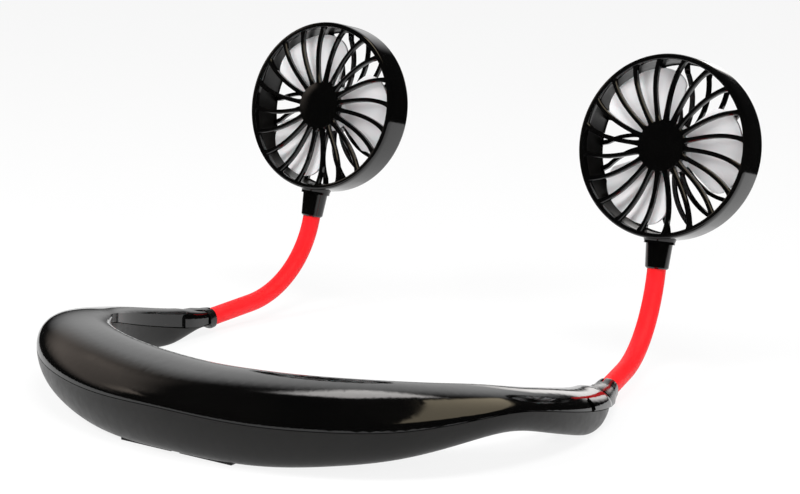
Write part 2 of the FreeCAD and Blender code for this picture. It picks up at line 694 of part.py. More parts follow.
def build_arm(side_name, side):
    tangent, normal, plane = arm_axes(side)
    back = frame(arm_point(side, -S.collar_length), normal, plane, tangent)
    collar = bind(
        doc.addObject("Part::Cone", f"collar_{side_name}"), Radius1="collar_back_radius",
        Radius2="collar_mouth_radius", Height="collar_length")
    collar.Placement = back
    slit_turn = Placement(Vector(), Rotation(UP, side * -S.collar_slit_turn))
    slit = block(
        f"collar_slit_{side_name}", moved(back.multiply(slit_turn), y=-S.collar_slit / 2),
        Length="collar_back_radius * 2", Width="collar_slit", Height="collar_length")
    rooms = arm_rooms[:2] if side > 0 else arm_rooms[2:]
    ring = cut(f"collar_{side_name}", collar, *rooms, slit)
    keep(ring, f"arm_collar_{side_name}")

    outside = arm_tube(f"sleeve_outside_{side_name}", side, "sleeve_radius", "sleeve_root", "sleeve_seat")
    inside = arm_tube(f"sleeve_inside_{side_name}", side, "sleeve_bore_radius", "core_root", "core_seat")
    keep(cut(f"sleeve_{side_name}", outside, inside), f"arm_sleeve_{side_name}")

    root = straight_length(
        f"core_root_{side_name}", side, -S.core_root, "core_radius", "core_root + sway_ahead - core_gap")
    keep(root, f"gooseneck_root_{side_name}")
    low = fuse(
        f"core_low_{side_name}",
        straight_length(
            f"core_low_run_{side_name}", side, S.sway_ahead + S.core_gap, "core_radius",
            "arm_run - sway_ahead - core_gap"),
        bent_length(
            f"core_low_bend_{side_name}", side, 0, "core_radius", "bend_low_turn - bend_gap"),
    )
    keep(low, f"gooseneck_low_{side_name}")
    keep(bent_length(
        f"core_mid_{side_name}", side, S.bend_low_turn + S.bend_gap, "core_radius",
        "bend_mid_turn - bend_low_turn - 2 * bend_gap"), f"gooseneck_mid_{side_name}")
    keep(bent_length(
        f"core_high_{side_name}", side, S.bend_mid_turn + S.bend_gap, "core_radius",
        "bend_high_turn - bend_mid_turn - 2 * bend_gap"), f"gooseneck_high_{side_name}")
    top = fuse(
        f"core_top_{side_name}",
        bent_length(
            f"core_top_bend_{side_name}", side, S.bend_high_turn + S.bend_gap, "core_radius",
            "arm_turn - bend_high_turn - bend_gap"),
        end_length(f"core_top_end_{side_name}", side, "core_radius", "core_seat"),
    )
    keep(top, f"gooseneck_top_{side_name}")


def build_neck(side_name, side):
    """Tapered stub that grips the arm and carries the head on a swivel spigot."""
    tangent, normal, plane = arm_axes(side, S.arm_turn)
    foot = frame(bend_point(side, S.arm_turn), normal, plane, tangent)
    taper = doc.addObject("Part::Cone", f"neck_taper_{side_name}")
    bind(
        taper, Radius1="neck_foot_radius", Radius2="neck_top_radius",
        Height="neck_height - neck_foot_chamfer")
    taper.Placement = moved(foot, z=S.neck_foot_chamfer)
    chamfer = doc.addObject("Part::Cone", f"neck_chamfer_{side_name}")
    bind(
        chamfer, Radius1="neck_foot_radius - neck_foot_chamfer", Radius2="neck_foot_radius",
        Height="neck_foot_chamfer")
    chamfer.Placement = foot
    flange = cylinder(
        f"neck_flange_{side_name}", moved(foot, z=S.neck_height), Radius="neck_flange_radius",
        Height="neck_flange_height")
    spigot = cylinder(
        f"neck_spigot_{side_name}", moved(foot, z=S.neck_height), Radius="spigot_radius",
        Height="neck_flange_height + spigot_height")
    solid = fuse(f"neck_solid_{side_name}", chamfer, taper, flange, spigot)
    sleeve_seat = cylinder(
        f"neck_sleeve_seat_{side_name}", foot, Radius="sleeve_radius + sleeve_clearance",
        Height="sleeve_seat + sleeve_clearance")
    core_seat = cylinder(
        f"neck_core_seat_{side_name}", foot, Radius="core_radius + sleeve_clearance",
        Height="core_seat + sleeve_clearance")
    wire_way = cylinder(
        f"neck_wire_way_{side_name}", foot, Radius="wire_bore_radius",
        Height="neck_height + neck_flange_height + spigot_height * 2")
    keep(cut(f"neck_{side_name}", solid, sleeve_seat, core_seat, wire_way), f"neck_{side_name}")


# Fan heads, built about the fan's axis: x across, y away from the neck, z to the front
def head_frame(side):
    tangent = arm_axes(side, S.arm_turn)[0]
    rise = S.neck_height + S.neck_flange_height + S.swivel_gap + boss_reach()
    centre = bend_point(side, S.arm_turn) + tangent * rise
    front = Vector(0, -1, 0)
    front = front - tangent * front.dot(tangent)
    front.normalize()
    return frame(centre, tangent.cross(front), tangent, front)


def boss_reach():
    """Fan axis to the lower face of the boss."""
    return S.drum_radius + S.swivel_gap


def plane_of(body, role):
    return [feature for feature in body.Origin.OriginFeatures if feature.Role == role][0]


def sketch_at(body, name, height):
    """A sketch square to the fan's axis, at a height given as a formula."""
    sketch = body.newObject("Sketcher::SketchObject", name)
    sketch.AttachmentSupport = [(plane_of(body, "XY_Plane"), "")]
    sketch.MapMode = "FlatFace"
    bind(sketch, AttachmentOffset__Base__z=height)
    return sketch


def add_circle(sketch, radius, alias, construction=False):
    """A circle about the fan's axis."""
    number = sketch.addGeometry(Part.Circle(Vector(), UP, radius), construction)
    sketch.addConstraint(Sketcher.Constraint("Coincident", number, 3, -1, 1))
    fixed = sketch.addConstraint(Sketcher.Constraint("Radius", number, radius))
    bind(sketch, **{f"Constraints[{fixed}]": alias})
    return number


def pad(body, sketch, name, length):
    feature = body.newObject("PartDesign::Pad", name)
    feature.Profile = sketch
    return bind(feature, Length=length)


def meet(centre, radius, ring):
    """Where a circle about the centre crosses a ring about the origin, on the side of +x."""
    span = centre.Length
    toward = centre / span
    near = (span * span + ring * ring - radius * radius) / (2 * span)
    aside = math.sqrt(ring * ring - near * near)
    square = Vector(-toward.y, toward.x, 0)
    points = [toward * near + square * aside, toward * near - square * aside]
    return max(points, key=lambda point: point.x)


def add_spoke(sketch, hand, tip_alias):
    """A curved bar from the hub to the rim that starts square to the hub and bends to one side."""
    root, tip = S.spoke_root_radius, getattr(S, tip_alias)
    centre = Vector(root, hand * S.spoke_bend, 0)
    rings = (
        add_circle(sketch, root, "spoke_root_radius", True),
        add_circle(sketch, tip, tip_alias, True),
    )
    edges, ends = [], []
    for sign, word in ((1, "+"), (-1, "-")):
        radius = S.spoke_bend + sign * S.spoke_width / 2
        first, last = meet(centre, radius, root), meet(centre, radius, tip)
        angles = [math.atan2(point.y - centre.y, point.x - centre.x) for point in (first, last)]
        low, high = (0, 1) if hand > 0 else (1, 0)
        arc = Part.ArcOfCircle(Part.Circle(centre, UP, radius), angles[low], angles[high])
        number = sketch.addGeometry(arc, False)
        fixed = sketch.addConstraint(Sketcher.Constraint("Radius", number, radius))
        bind(sketch, **{f"Constraints[{fixed}]": f"spoke_bend {word} spoke_width / 2"})
        for point, ring in ((low + 1, rings[0]), (high + 1, rings[1])):
            sketch.addConstraint(Sketcher.Constraint("PointOnObject", number, point, ring))
        edges.append(number)
        ends.append(((low + 1, first), (high + 1, last)))
    sketch.addConstraint(Sketcher.Constraint("Coincident", edges[0], 3, edges[1], 3))
    across = sketch.addConstraint(Sketcher.Constraint("DistanceX", -1, 1, edges[0], 3, centre.x))
    bind(sketch, **{f"Constraints[{across}]": "spoke_root_radius"})
    upward = sketch.addConstraint(Sketcher.Constraint("DistanceY", -1, 1, edges[0], 3, centre.y))
    bind(sketch, **{f"Constraints[{upward}]": "spoke_bend" if hand > 0 else "-spoke_bend"})
    for end in (0, 1):
        (near_point, near), (far_point, far) = ends[0][end], ends[1][end]
        line = sketch.addGeometry(Part.LineSegment(near, far), False)
        sketch.addConstraint(Sketcher.Constraint("Coincident", line, 1, edges[0], near_point))
        sketch.addConstraint(Sketcher.Constraint("Coincident", line, 2, edges[1], far_point))


def polar(body, feature, sketch, name, count):
    pattern = body.newObject("PartDesign::PolarPattern", name)
    pattern.Originals = [feature]
    pattern.Axis = (sketch, ["N_Axis"])
    pattern.Angle = 360
    bind(pattern, Occurrences=count)
    body.Tip = pattern
    return pattern


def round_edges(body, feature, name, radius, end):
    """Round the drum's outer edge at its front, 1, or back, -1."""
    around = 2 * math.pi * S.drum_radius
    edges = [
        f"Edge{number}" for number, edge in enumerate(feature.Shape.Edges, start=1)
        if abs(edge.Length - around) < S.seam_gap
        and abs(edge.BoundBox.Center.z - end * S.drum_depth / 2) < S.seam_gap]
    rounding = body.newObject("PartDesign::Fillet", name)
    rounding.Base = (feature, edges)
    bind(rounding, Radius=radius)


def build_front_grille(side_name, place):
    body = doc.addObject("PartDesign::Body", f"front_grille_{side_name}")
    hub = sketch_at(body, f"grille_hub_{side_name}", "drum_depth / 2 - hub_thickness")
    add_circle(hub, S.hub_radius, "hub_radius")
    pad(body, hub, f"grille_hub_pad_{side_name}", "hub_thickness")
    spoke = sketch_at(body, f"grille_spoke_{side_name}", "drum_depth / 2 - grille_thickness")
    add_spoke(spoke, -1, "spoke_tip_radius")
    bar = pad(body, spoke, f"grille_spoke_pad_{side_name}", "grille_thickness")
    doc.recompute()
    polar(body, bar, spoke, f"grille_spokes_{side_name}", "spoke_count")
    rim = sketch_at(body, f"grille_rim_{side_name}", "drum_depth / 2 - rim_depth")
    add_circle(rim, S.drum_radius, "drum_radius")
    add_circle(rim, S.drum_bore_radius, "drum_bore_radius")
    ring = pad(body, rim, f"grille_rim_pad_{side_name}", "rim_depth")
    doc.recompute()
    round_edges(body, ring, f"rim_front_{side_name}", "rim_round", 1)
    body.Placement = place
    keep(body, f"front_grille_{side_name}")


def build_housing(side_name, place):
    """Drum with its rear grille, the motor's cup and the swivel boss."""
    body = doc.addObject("PartDesign::Body", f"housing_body_{side_name}")
    cup = sketch_at(body, f"cup_{side_name}", "-drum_depth / 2")
    add_circle(cup, S.hub_radius, "hub_radius")
    pad(body, cup, f"cup_pad_{side_name}", "cup_floor + cup_depth")
    spoke = sketch_at(body, f"rear_spoke_{side_name}", "-drum_depth / 2")
    add_spoke(spoke, 1, "rear_spoke_tip_radius")
    bar = pad(body, spoke, f"rear_spoke_pad_{side_name}", "grille_thickness")
    doc.recompute()
    polar(body, bar, spoke, f"rear_spokes_{side_name}", "rear_spoke_count")
    lip = sketch_at(body, f"rear_lip_{side_name}", "-drum_depth / 2")
    add_circle(lip, S.drum_radius, "drum_radius")
    add_circle(lip, S.rear_lip_radius, "rear_lip_radius")
    pad(body, lip, f"rear_lip_pad_{side_name}", "grille_thickness")
    wall = sketch_at(body, f"drum_wall_{side_name}", "-drum_depth / 2")
    add_circle(wall, S.drum_radius, "drum_radius")
    add_circle(wall, S.drum_bore_radius, "drum_bore_radius")
    pad(body, wall, f"drum_wall_pad_{side_name}", "drum_depth - rim_depth")
    seat = sketch_at(body, f"motor_seat_{side_name}", "cup_floor - drum_depth / 2")
    add_circle(seat, S.motor_radius + S.motor_clearance, "motor_radius + motor_clearance")
    pocket = body.newObject("PartDesign::Pocket", f"motor_seat_pocket_{side_name}")
    pocket.Profile = seat
    pocket.Reversed = True
    bind(pocket, Length="cup_depth")
    doc.recompute()
    round_edges(body, pocket, f"drum_back_{side_name}", "drum_back_round", -1)
    boss_place = frame(Vector(0, -boss_reach(), 0), Vector(1, 0, 0), Vector(0, 0, -1), Vector(0, 1, 0))
    boss = cylinder(
        f"boss_{side_name}", boss_place, Radius="boss_radius",
        Height="swivel_gap + drum_radius - drum_bore_radius - boss_cover")
    bore = cylinder(
        f"boss_bore_{side_name}", moved(boss_place, z=-S.spigot_height),
        Radius="spigot_radius + spigot_clearance", Height="spigot_height * 3")
    housing = cut(f"housing_{side_name}", fuse(f"housing_fused_{side_name}", body, boss), bore)
    housing.Placement = place
    keep(housing, f"fan_housing_{side_name}")


def build_hub_cap(side_name, place):
    """Shallow dome on the front hub disc."""
    dome_radius = (S.cap_radius ** 2 + S.cap_dome ** 2) / (2 * S.cap_dome)
    rim = cylinder(f"cap_rim_{side_name}", Placement(), Radius="cap_radius", Height="cap_edge + cap_dome")
    ball = bind(
        doc.addObject("Part::Sphere", f"cap_ball_{side_name}"),
        Radius="(cap_radius * cap_radius + cap_dome * cap_dome) / (2 * cap_dome)")
    ball.Placement.Base.z = S.cap_edge + S.cap_dome - dome_radius
    cap = doc.addObject("Part::Common", f"cap_{side_name}")
    cap.Base, cap.Tool = rim, ball
    cap.Placement = moved(place, z=S.drum_depth / 2)
    keep(cap, f"hub_cap_{side_name}")


def build_motor(side_name, place):
    back = S.cup_floor - S.drum_depth / 2
    can = cylinder(
        f"motor_can_{side_name}", Placement(Vector(0, 0, back), Rotation()), Radius="motor_radius",
        Height="motor_length")
    bearing = cylinder(
        f"motor_bearing_{side_name}",
        Placement(Vector(0, 0, back + S.motor_length - S.shaft_bearing), Rotation()),
        Radius="shaft_radius + shaft_clearance", Height="shaft_bearing * 2")
    motor = cut(f"motor_{side_name}", can, bearing)
    motor.Placement = place
    keep(motor, f"motor_{side_name}")
    shaft_start = back + S.motor_length - S.shaft_bearing + S.shaft_end
    shaft = cylinder(f"motor_shaft_{side_name}", moved(place, z=shaft_start), Radius="shaft_radius")
    shaft.Height = impeller_front() - S.shaft_end - shaft_start
    keep(shaft, f"motor_shaft_{side_name}")


def impeller_front():
    """Front face of the impeller, behind the front hub disc."""
    return S.drum_depth / 2 - S.hub_thickness - S.impeller_gap


def blade_form(name):
    """A twisted blade: thin radial strips, each turned on and set further back than the last."""
    half = math.radians(S.blade_half_angle)
    middle = impeller_front() - S.impeller_hub_depth / 2
    wires = []
    for strip in range(BLADE_STRIPS):
        share = 2 * strip / (BLADE_STRIPS - 1) - 1
        turn = half * share
        outward = Vector(math.cos(turn), math.sin(turn), 0)
        tip = S.blade_tip_radius - S.blade_corner * share ** 4
        low = middle + S.blade_pitch_rise / 2 * share - S.blade_thickness / 2
        corners = [
            outward * S.blade_root_radius + UP * low,
            outward * tip + UP * low,
            outward * tip + UP * (low + S.blade_thickness),
            outward * S.blade_root_radius + UP * (low + S.blade_thickness),
        ]
        wires.append(Part.makePolygon(corners + corners[:1]))
    form = doc.addObject("Part::Feature", name)
    form.Shape = Part.makeLoft(wires, True, False)
    return form


def build_impeller(side_name, place):
    front = impeller_front()
    hub = cylinder(
        f"impeller_hub_{side_name}", Placement(Vector(0, 0, front - S.impeller_hub_depth), Rotation()),
        Radius="impeller_hub_radius", Height="impeller_hub_depth")
    hollow = cylinder(
        f"impeller_hollow_{side_name}", Placement(Vector(0, 0, front - S.impeller_hub_depth), Rotation()),
        Radius="impeller_hub_bore", Height="impeller_hub_depth - impeller_face")
    blades = []
    for number in range(int(S.blade_count)):
        blade = blade_form(f"blade_{side_name}_{number}")
        blade.Placement.Rotation = Rotation(UP, 360 / S.blade_count * number)
        blades.append(blade)
    bore = cylinder(
        f"impeller_bore_{side_name}", Placement(), Radius="shaft_radius + shaft_grip",
        Height="drum_depth / 2")
    bore.Placement.Base.z = front - S.drum_depth / 2 - S.shaft_end
    solid = fuse(f"impeller_solid_{side_name}", hub, *blades)
    impeller = cut(f"impeller_{side_name}", solid, hollow, bore)
    impeller.Placement = place
    keep(impeller, f"impeller_{side_name}")


for side_name, side in SIDES.items():
    build_arm(side_name, side)
    build_neck(side_name, side)
    place = head_frame(side)
    build_housing(side_name, place)
    build_front_grille(side_name, place)
    build_hub_cap(side_name, place)
    build_motor(side_name, place)
    build_impeller(side_name, place)

doc.recompute()
for obj in doc.Objects:
    if {"Invalid", "Error"} & set(obj.State):
        raise RuntimeError(f"{obj.Name} failed: {obj.State}")
for obj in nodes:
    if obj.Shape.isNull() or not obj.Shape.isValid():
        raise RuntimeError(f"{obj.Label} has no valid shape")

os.makedirs("parts", exist_ok=True)
for obj in nodes:
    obj.Shape.exportStep(os.path.join("parts", f"{obj.Label}.step"))
    solids = len(obj.Shape.Solids)
    print(f"{obj.Label}: {solids} solid(s), {obj.Shape.Volume / 1000:.2f} cm3")
whole = FreeCAD.BoundBox()
for obj in nodes:
    whole.add(obj.Shape.optimalBoundingBox(False))
print(f"whole: {whole}")
for side_name, side in SIDES.items():
    for name, turn in (("low", S.bend_low_turn), ("mid", S.bend_mid_turn), ("high", S.bend_high_turn)):
        print(f"bend {name} {side_name}: {bend_point(side, turn)} axis {arm_axes(side)[2]}")
    print(f"sway {side_name}: {arm_point(side, S.sway_ahead)}")
    print(f"neck {side_name}: {bend_point(side, S.arm_turn)} axis {arm_axes(side, S.arm_turn)[0]}")
    print(f"head {side_name}: {head_frame(side)}")
print(f"button: {inward_frame}")
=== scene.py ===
import logging
import math
from dataclasses import dataclass, field
from enum import Enum

import bmesh
import bpy
from mathutils import Matrix, Vector
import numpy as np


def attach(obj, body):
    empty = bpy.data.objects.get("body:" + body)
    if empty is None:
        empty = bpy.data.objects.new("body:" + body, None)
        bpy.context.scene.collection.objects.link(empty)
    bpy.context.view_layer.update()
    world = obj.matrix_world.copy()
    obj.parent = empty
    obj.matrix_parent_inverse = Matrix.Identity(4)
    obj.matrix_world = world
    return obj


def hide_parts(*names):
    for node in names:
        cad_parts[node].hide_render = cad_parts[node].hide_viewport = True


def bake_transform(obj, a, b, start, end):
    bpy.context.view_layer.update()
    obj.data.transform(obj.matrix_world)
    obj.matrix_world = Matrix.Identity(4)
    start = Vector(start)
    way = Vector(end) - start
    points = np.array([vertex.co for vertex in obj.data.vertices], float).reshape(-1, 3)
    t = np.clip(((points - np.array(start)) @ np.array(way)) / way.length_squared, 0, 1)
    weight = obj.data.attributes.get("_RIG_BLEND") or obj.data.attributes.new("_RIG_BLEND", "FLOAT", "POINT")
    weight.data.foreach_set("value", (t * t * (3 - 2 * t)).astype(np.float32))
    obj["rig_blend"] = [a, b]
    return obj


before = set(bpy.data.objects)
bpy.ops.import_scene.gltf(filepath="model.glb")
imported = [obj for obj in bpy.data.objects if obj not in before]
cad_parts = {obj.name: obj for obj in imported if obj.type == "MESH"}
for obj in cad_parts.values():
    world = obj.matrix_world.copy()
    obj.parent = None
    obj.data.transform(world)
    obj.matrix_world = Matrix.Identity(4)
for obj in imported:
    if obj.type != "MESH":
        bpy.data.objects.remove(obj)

logging.basicConfig(level=logging.INFO, format="%(message)s")
log = logging.getLogger("neck_fan")

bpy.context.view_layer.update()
Triple = tuple[float, float, float]
Pair = tuple[float, float]
UP = Vector((0, 0, 1))


class Side(Enum):
    """The two ends of the band, by the sign of x."""

    LEFT = -1
    RIGHT = 1

    @property
    def word(self) -> str:
        """The side's name in the nodes and bodies."""
        return self.name.lower()

    def mirror(self, place: Triple) -> Vector:
        """A place or direction of the right side, on this side.

        Args:
            place: Its coordinates on the right.

        Returns:
            The same on this side.
        """
        return Vector((place[0] * self.value, place[1], place[2]))


class Graph:
    """A small helper that adds and joins the nodes of one material."""

    NOISE_SPAN = (0.3, 0.7)
    TONE_SPAN = (0.35, 0.65)

    def __init__(self, name: str) -> None:
        """Start an empty material.

        Args:
            name: The material's name.
        """
        self.material = bpy.data.materials.new(name)
        self.material.use_nodes = True
        self.nodes = self.material.node_tree.nodes
        self.links = self.material.node_tree.links
        self.shader = self.nodes["Principled BSDF"]
        self.coords = self.nodes.new("ShaderNodeTexCoord").outputs["Object"]

    def join(self, source: bpy.types.NodeSocket, node: bpy.types.ShaderNode, socket: str) -> None:
        """Link an output to a named input.

        Args:
            source: The output.
            node: The node that takes it.
            socket: The input's name.
        """
        self.links.new(source, node.inputs[socket])

    def noise(self, scale: float, detail: float, stretch: Triple) -> bpy.types.NodeSocket:
        """Noise over the object.

        Args:
            scale: Features per metre.
            detail: Octaves.
            stretch: Scale along each axis.

        Returns:
            The noise's value.
        """
        mapping = self.nodes.new("ShaderNodeMapping")
        mapping.inputs["Scale"].default_value = stretch
        self.join(self.coords, mapping, "Vector")
        texture = self.nodes.new("ShaderNodeTexNoise")
        texture.inputs["Scale"].default_value = scale
        texture.inputs["Detail"].default_value = detail
        self.join(mapping.outputs["Vector"], texture, "Vector")
        return texture.outputs["Fac"]

    def spread(self, value: bpy.types.NodeSocket, low: float, high: float) -> bpy.types.NodeSocket:
        """Map noise onto a range.

        Args:
            value: The noise.
            low: Result at the low end.
            high: Result at the high end.

        Returns:
            The mapped value.
        """
        node = self.nodes.new("ShaderNodeMapRange")
        names = ("From Min", "From Max", "To Min", "To Max")
        for name, limit in zip(names, (*self.NOISE_SPAN, low, high)):
            node.inputs[name].default_value = limit
        self.join(value, node, "Value")
        return node.outputs["Result"]

    def two_tone(self, value: bpy.types.NodeSocket, first: Triple, second: Triple) -> None:
        """Colour the surface between two tones.

        Args:
            value: Noise that picks the tone.
            first: Tone at the low end.
            second: Tone at the high end.
        """
        ramp = self.nodes.new("ShaderNodeValToRGB")
        for element, place, tone in zip(ramp.color_ramp.elements, self.TONE_SPAN, (first, second)):
            element.position = place
            element.color = (*tone, 1)
        self.join(value, ramp, "Fac")
        self.join(ramp.outputs["Color"], self.shader, "Base Color")

    def bump(self, value: bpy.types.NodeSocket, strength: float, depth: float) -> None:
        """Raise the surface a little.

        Args:
            value: Height.
            strength: Share of the effect.
            depth: Height of the bumps, in metres.
        """
        node = self.nodes.new("ShaderNodeBump")
        node.inputs["Strength"].default_value = strength
        node.inputs["Distance"].default_value = depth
        self.join(value, node, "Height")
        self.join(node.outputs["Normal"], self.shader, "Normal")


@dataclass(frozen=True)
class Finish:
    """A moulded or drawn surface with a little unevenness in tone, gloss and height.

    Scales are features per metre, depths and radii are metres, and details are octaves.
    """

    slot: str
    first: Triple
    second: Triple
    gloss: Pair
    tone_scale: float
    grain_scale: float
    grain_depth: float
    grain_strength: float
    metallic: float = 0.0
    stretch: Triple = (1, 1, 1)
    shine: float = 0.5
    glow_through: float = 0.0
    glow_radius: Triple = (0.002, 0.001, 0.001)
    tone_detail: float = 4.0
    wear_detail: float = 5.0
    wear_to_tone: float = 7.0
    grain_detail: float = 2.0

    def build(self) -> bpy.types.Material:
        """Make the material.

        Returns:
            The finished material.
        """
        graph = Graph(self.slot)
        tone = graph.noise(self.tone_scale, self.tone_detail, self.stretch)
        graph.two_tone(tone, self.first, self.second)
        wear = graph.noise(self.tone_scale * self.wear_to_tone, self.wear_detail, self.stretch)
        graph.join(graph.spread(wear, *self.gloss), graph.shader, "Roughness")
        grain = graph.noise(self.grain_scale, self.grain_detail, self.stretch)
        graph.bump(grain, self.grain_strength, self.grain_depth)
        graph.shader.inputs["Metallic"].default_value = self.metallic
        graph.shader.inputs["Specular IOR Level"].default_value = self.shine
        if self.glow_through:
            graph.shader.inputs["Subsurface Weight"].default_value = self.glow_through
            graph.shader.inputs["Subsurface Radius"].default_value = self.glow_radius
            graph.shader.inputs["Subsurface Scale"].default_value = 1.0
        return graph.material


FINISHES = (
    Finish("gloss_black", (0.0010, 0.0010, 0.0010), (0.0017, 0.0016, 0.0015), gloss=(0.06, 0.10),
           tone_scale=30, grain_scale=500, grain_depth=0.000004, grain_strength=0.15),
    Finish("satin_black", (0.0042, 0.0040, 0.0036), (0.0062, 0.0058, 0.0054), gloss=(0.3, 0.4),
           tone_scale=40, grain_scale=1600, grain_depth=0.000008, grain_strength=0.2, shine=0.28),
    Finish("collar_grey", (0.0040, 0.0038, 0.0036), (0.0060, 0.0056, 0.0054), gloss=(0.16, 0.24),
           tone_scale=60, grain_scale=1600, grain_depth=0.000006, grain_strength=0.2),
    Finish("red_silicone", (0.80, 0.006, 0.010), (0.86, 0.010, 0.016), gloss=(0.46, 0.58),
           tone_scale=90, grain_scale=2200, grain_depth=0.00001, grain_strength=0.3, shine=0.3,
           glow_through=0.08),
    Finish("foot_rubber", (0.012, 0.012, 0.012), (0.02, 0.02, 0.02), gloss=(0.7, 0.85),
           tone_scale=80, grain_scale=1200, grain_depth=0.00003, grain_strength=0.5),
    Finish("impeller_white", (0.74, 0.73, 0.74), (0.80, 0.79, 0.80), gloss=(0.28, 0.4),
           tone_scale=45, grain_scale=1200, grain_depth=0.000006, grain_strength=0.2, glow_through=0.15),
    Finish("steel", (0.42, 0.42, 0.43), (0.56, 0.56, 0.56), gloss=(0.22, 0.38), metallic=1.0,
           tone_scale=120, grain_scale=900, grain_depth=0.00001, grain_strength=0.3, stretch=(1, 1, 8)),
    Finish("motor_can", (0.36, 0.36, 0.37), (0.48, 0.48, 0.48), gloss=(0.28, 0.42), metallic=1.0,
           tone_scale=120, grain_scale=900, grain_depth=0.00001, grain_strength=0.3, stretch=(1, 6, 1)),
    Finish("cell_wrap", (0.03, 0.11, 0.24), (0.04, 0.14, 0.29), gloss=(0.2, 0.32),
           tone_scale=40, grain_scale=700, grain_depth=0.00002, grain_strength=0.3),
    Finish("board_green", (0.012, 0.10, 0.035), (0.02, 0.14, 0.05), gloss=(0.35, 0.5),
           tone_scale=300, grain_scale=1500, grain_depth=0.00002, grain_strength=0.4),
    Finish("light_pipe", (0.72, 0.76, 0.76), (0.80, 0.84, 0.84), gloss=(0.3, 0.42),
           tone_scale=200, grain_scale=1500, grain_depth=0.00001, grain_strength=0.3, glow_through=0.3),
)
MATERIALS = {finish.slot: finish.build() for finish in FINISHES}

# Points nearer than these are one point: in a node's own mesh, and in a mesh made here.
NODE_GAP = 1e-6
SEAM_GAP = 1e-7


def settle(mesh: bpy.types.Mesh, crease: float, gap: float = 0.0, outward: bool = True) -> None:
    """Merge points, turn the faces outward and smooth all but the creases.

    Args:
        mesh: The mesh.
        crease: Sharpest bend that is still smooth, in degrees.
        gap: Distance under which points are merged, or 0 for none.
        outward: Whether the faces need turning.
    """
    work = bmesh.new()
    work.from_mesh(mesh)
    if gap:
        bmesh.ops.remove_doubles(work, verts=work.verts, dist=gap)
    if outward:
        bmesh.ops.recalc_face_normals(work, faces=work.faces)
    work.to_mesh(mesh)
    work.free()
    mesh.shade_smooth()
    mesh.set_sharp_from_angle(angle=math.radians(crease))


def link_mesh(name: str, mesh: bpy.types.Mesh, slot: str) -> bpy.types.Object:
    """Put a mesh into the scene with one finish.

    Args:
        name: The piece's name.
        mesh: Its mesh, placed in the shared frame.
        slot: The finish.

    Returns:
        The new piece.
    """
    mesh.materials.clear()
    mesh.materials.append(MATERIALS[slot])
    piece = bpy.data.objects.new(name, mesh)
    bpy.context.scene.collection.objects.link(piece)
    return piece


def smooth_copy(node: str, body: str, slot: str, crease: float = 32.0) -> bpy.types.Object:
    """A piece with the node's own shape, its points merged and its curved faces smooth.

    Args:
        node: The node that it stands for.
        body: The body that it rides on.
        slot: The finish.
        crease: Sharpest bend that is still smooth, in degrees.

    Returns:
        The new piece.
    """
    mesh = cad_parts[node].data.copy()
    for name in [entry.name for entry in mesh.attributes if entry.name == "custom_normal"]:
        mesh.attributes.remove(mesh.attributes[name])
    settle(mesh, crease, NODE_GAP, outward=False)
    piece = link_mesh(f"{node}_skin", mesh, slot)
    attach(piece, body)
    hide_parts(node)
    log.info("%s: %d faces on %s", piece.name, len(mesh.polygons), body)
    return piece


def dress(node: str, slot: str) -> None:
    """Give a node that keeps its own mesh its finish.

    Args:
        node: The node.
        slot: The finish.
    """
    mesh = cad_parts[node].data
    mesh.materials.clear()
    mesh.materials.append(MATERIALS[slot])
    log.info("%s: %s", node, slot)


def ring_faces(rows: int, columns: int,
               left_out: frozenset[tuple[int, int]] = frozenset()) -> list[tuple[int, ...]]:
    """Faces between neighbouring rings.

    Args:
        rows: Number of rings.
        columns: Points on a ring.
        left_out: Faces to leave open, as row and column.

    Returns:
        The faces, as point numbers.
    """
    faces = []
    for row in range(rows - 1):
        for column in range(columns):
            if (row, column) not in left_out:
                first, after = row * columns + column, row * columns + (column + 1) % columns
                faces.append((first, after, after + columns, first + columns))
    return faces


def skin(name: str, rings: list[list[Vector]],
         left_out: frozenset[tuple[int, int]] = frozenset()) -> bpy.types.Mesh:
    """Skin a row of closed rings.

    Args:
        name: The mesh's name.
        rings: Rings with the same number of points.
        left_out: Faces to leave open, as row and column.

    Returns:
        The mesh.
    """
    mesh = bpy.data.meshes.new(name)
    points = [point for ring in rings for point in ring]
    mesh.from_pydata(points, [], ring_faces(len(rings), len(rings[0]), left_out))
    return mesh


def turns(count: int) -> list[float]:
    """Angles spread evenly over a full turn.

    Args:
        count: How many.

    Returns:
        The angles, from 0.
    """
    return [math.tau * number / count for number in range(count)]


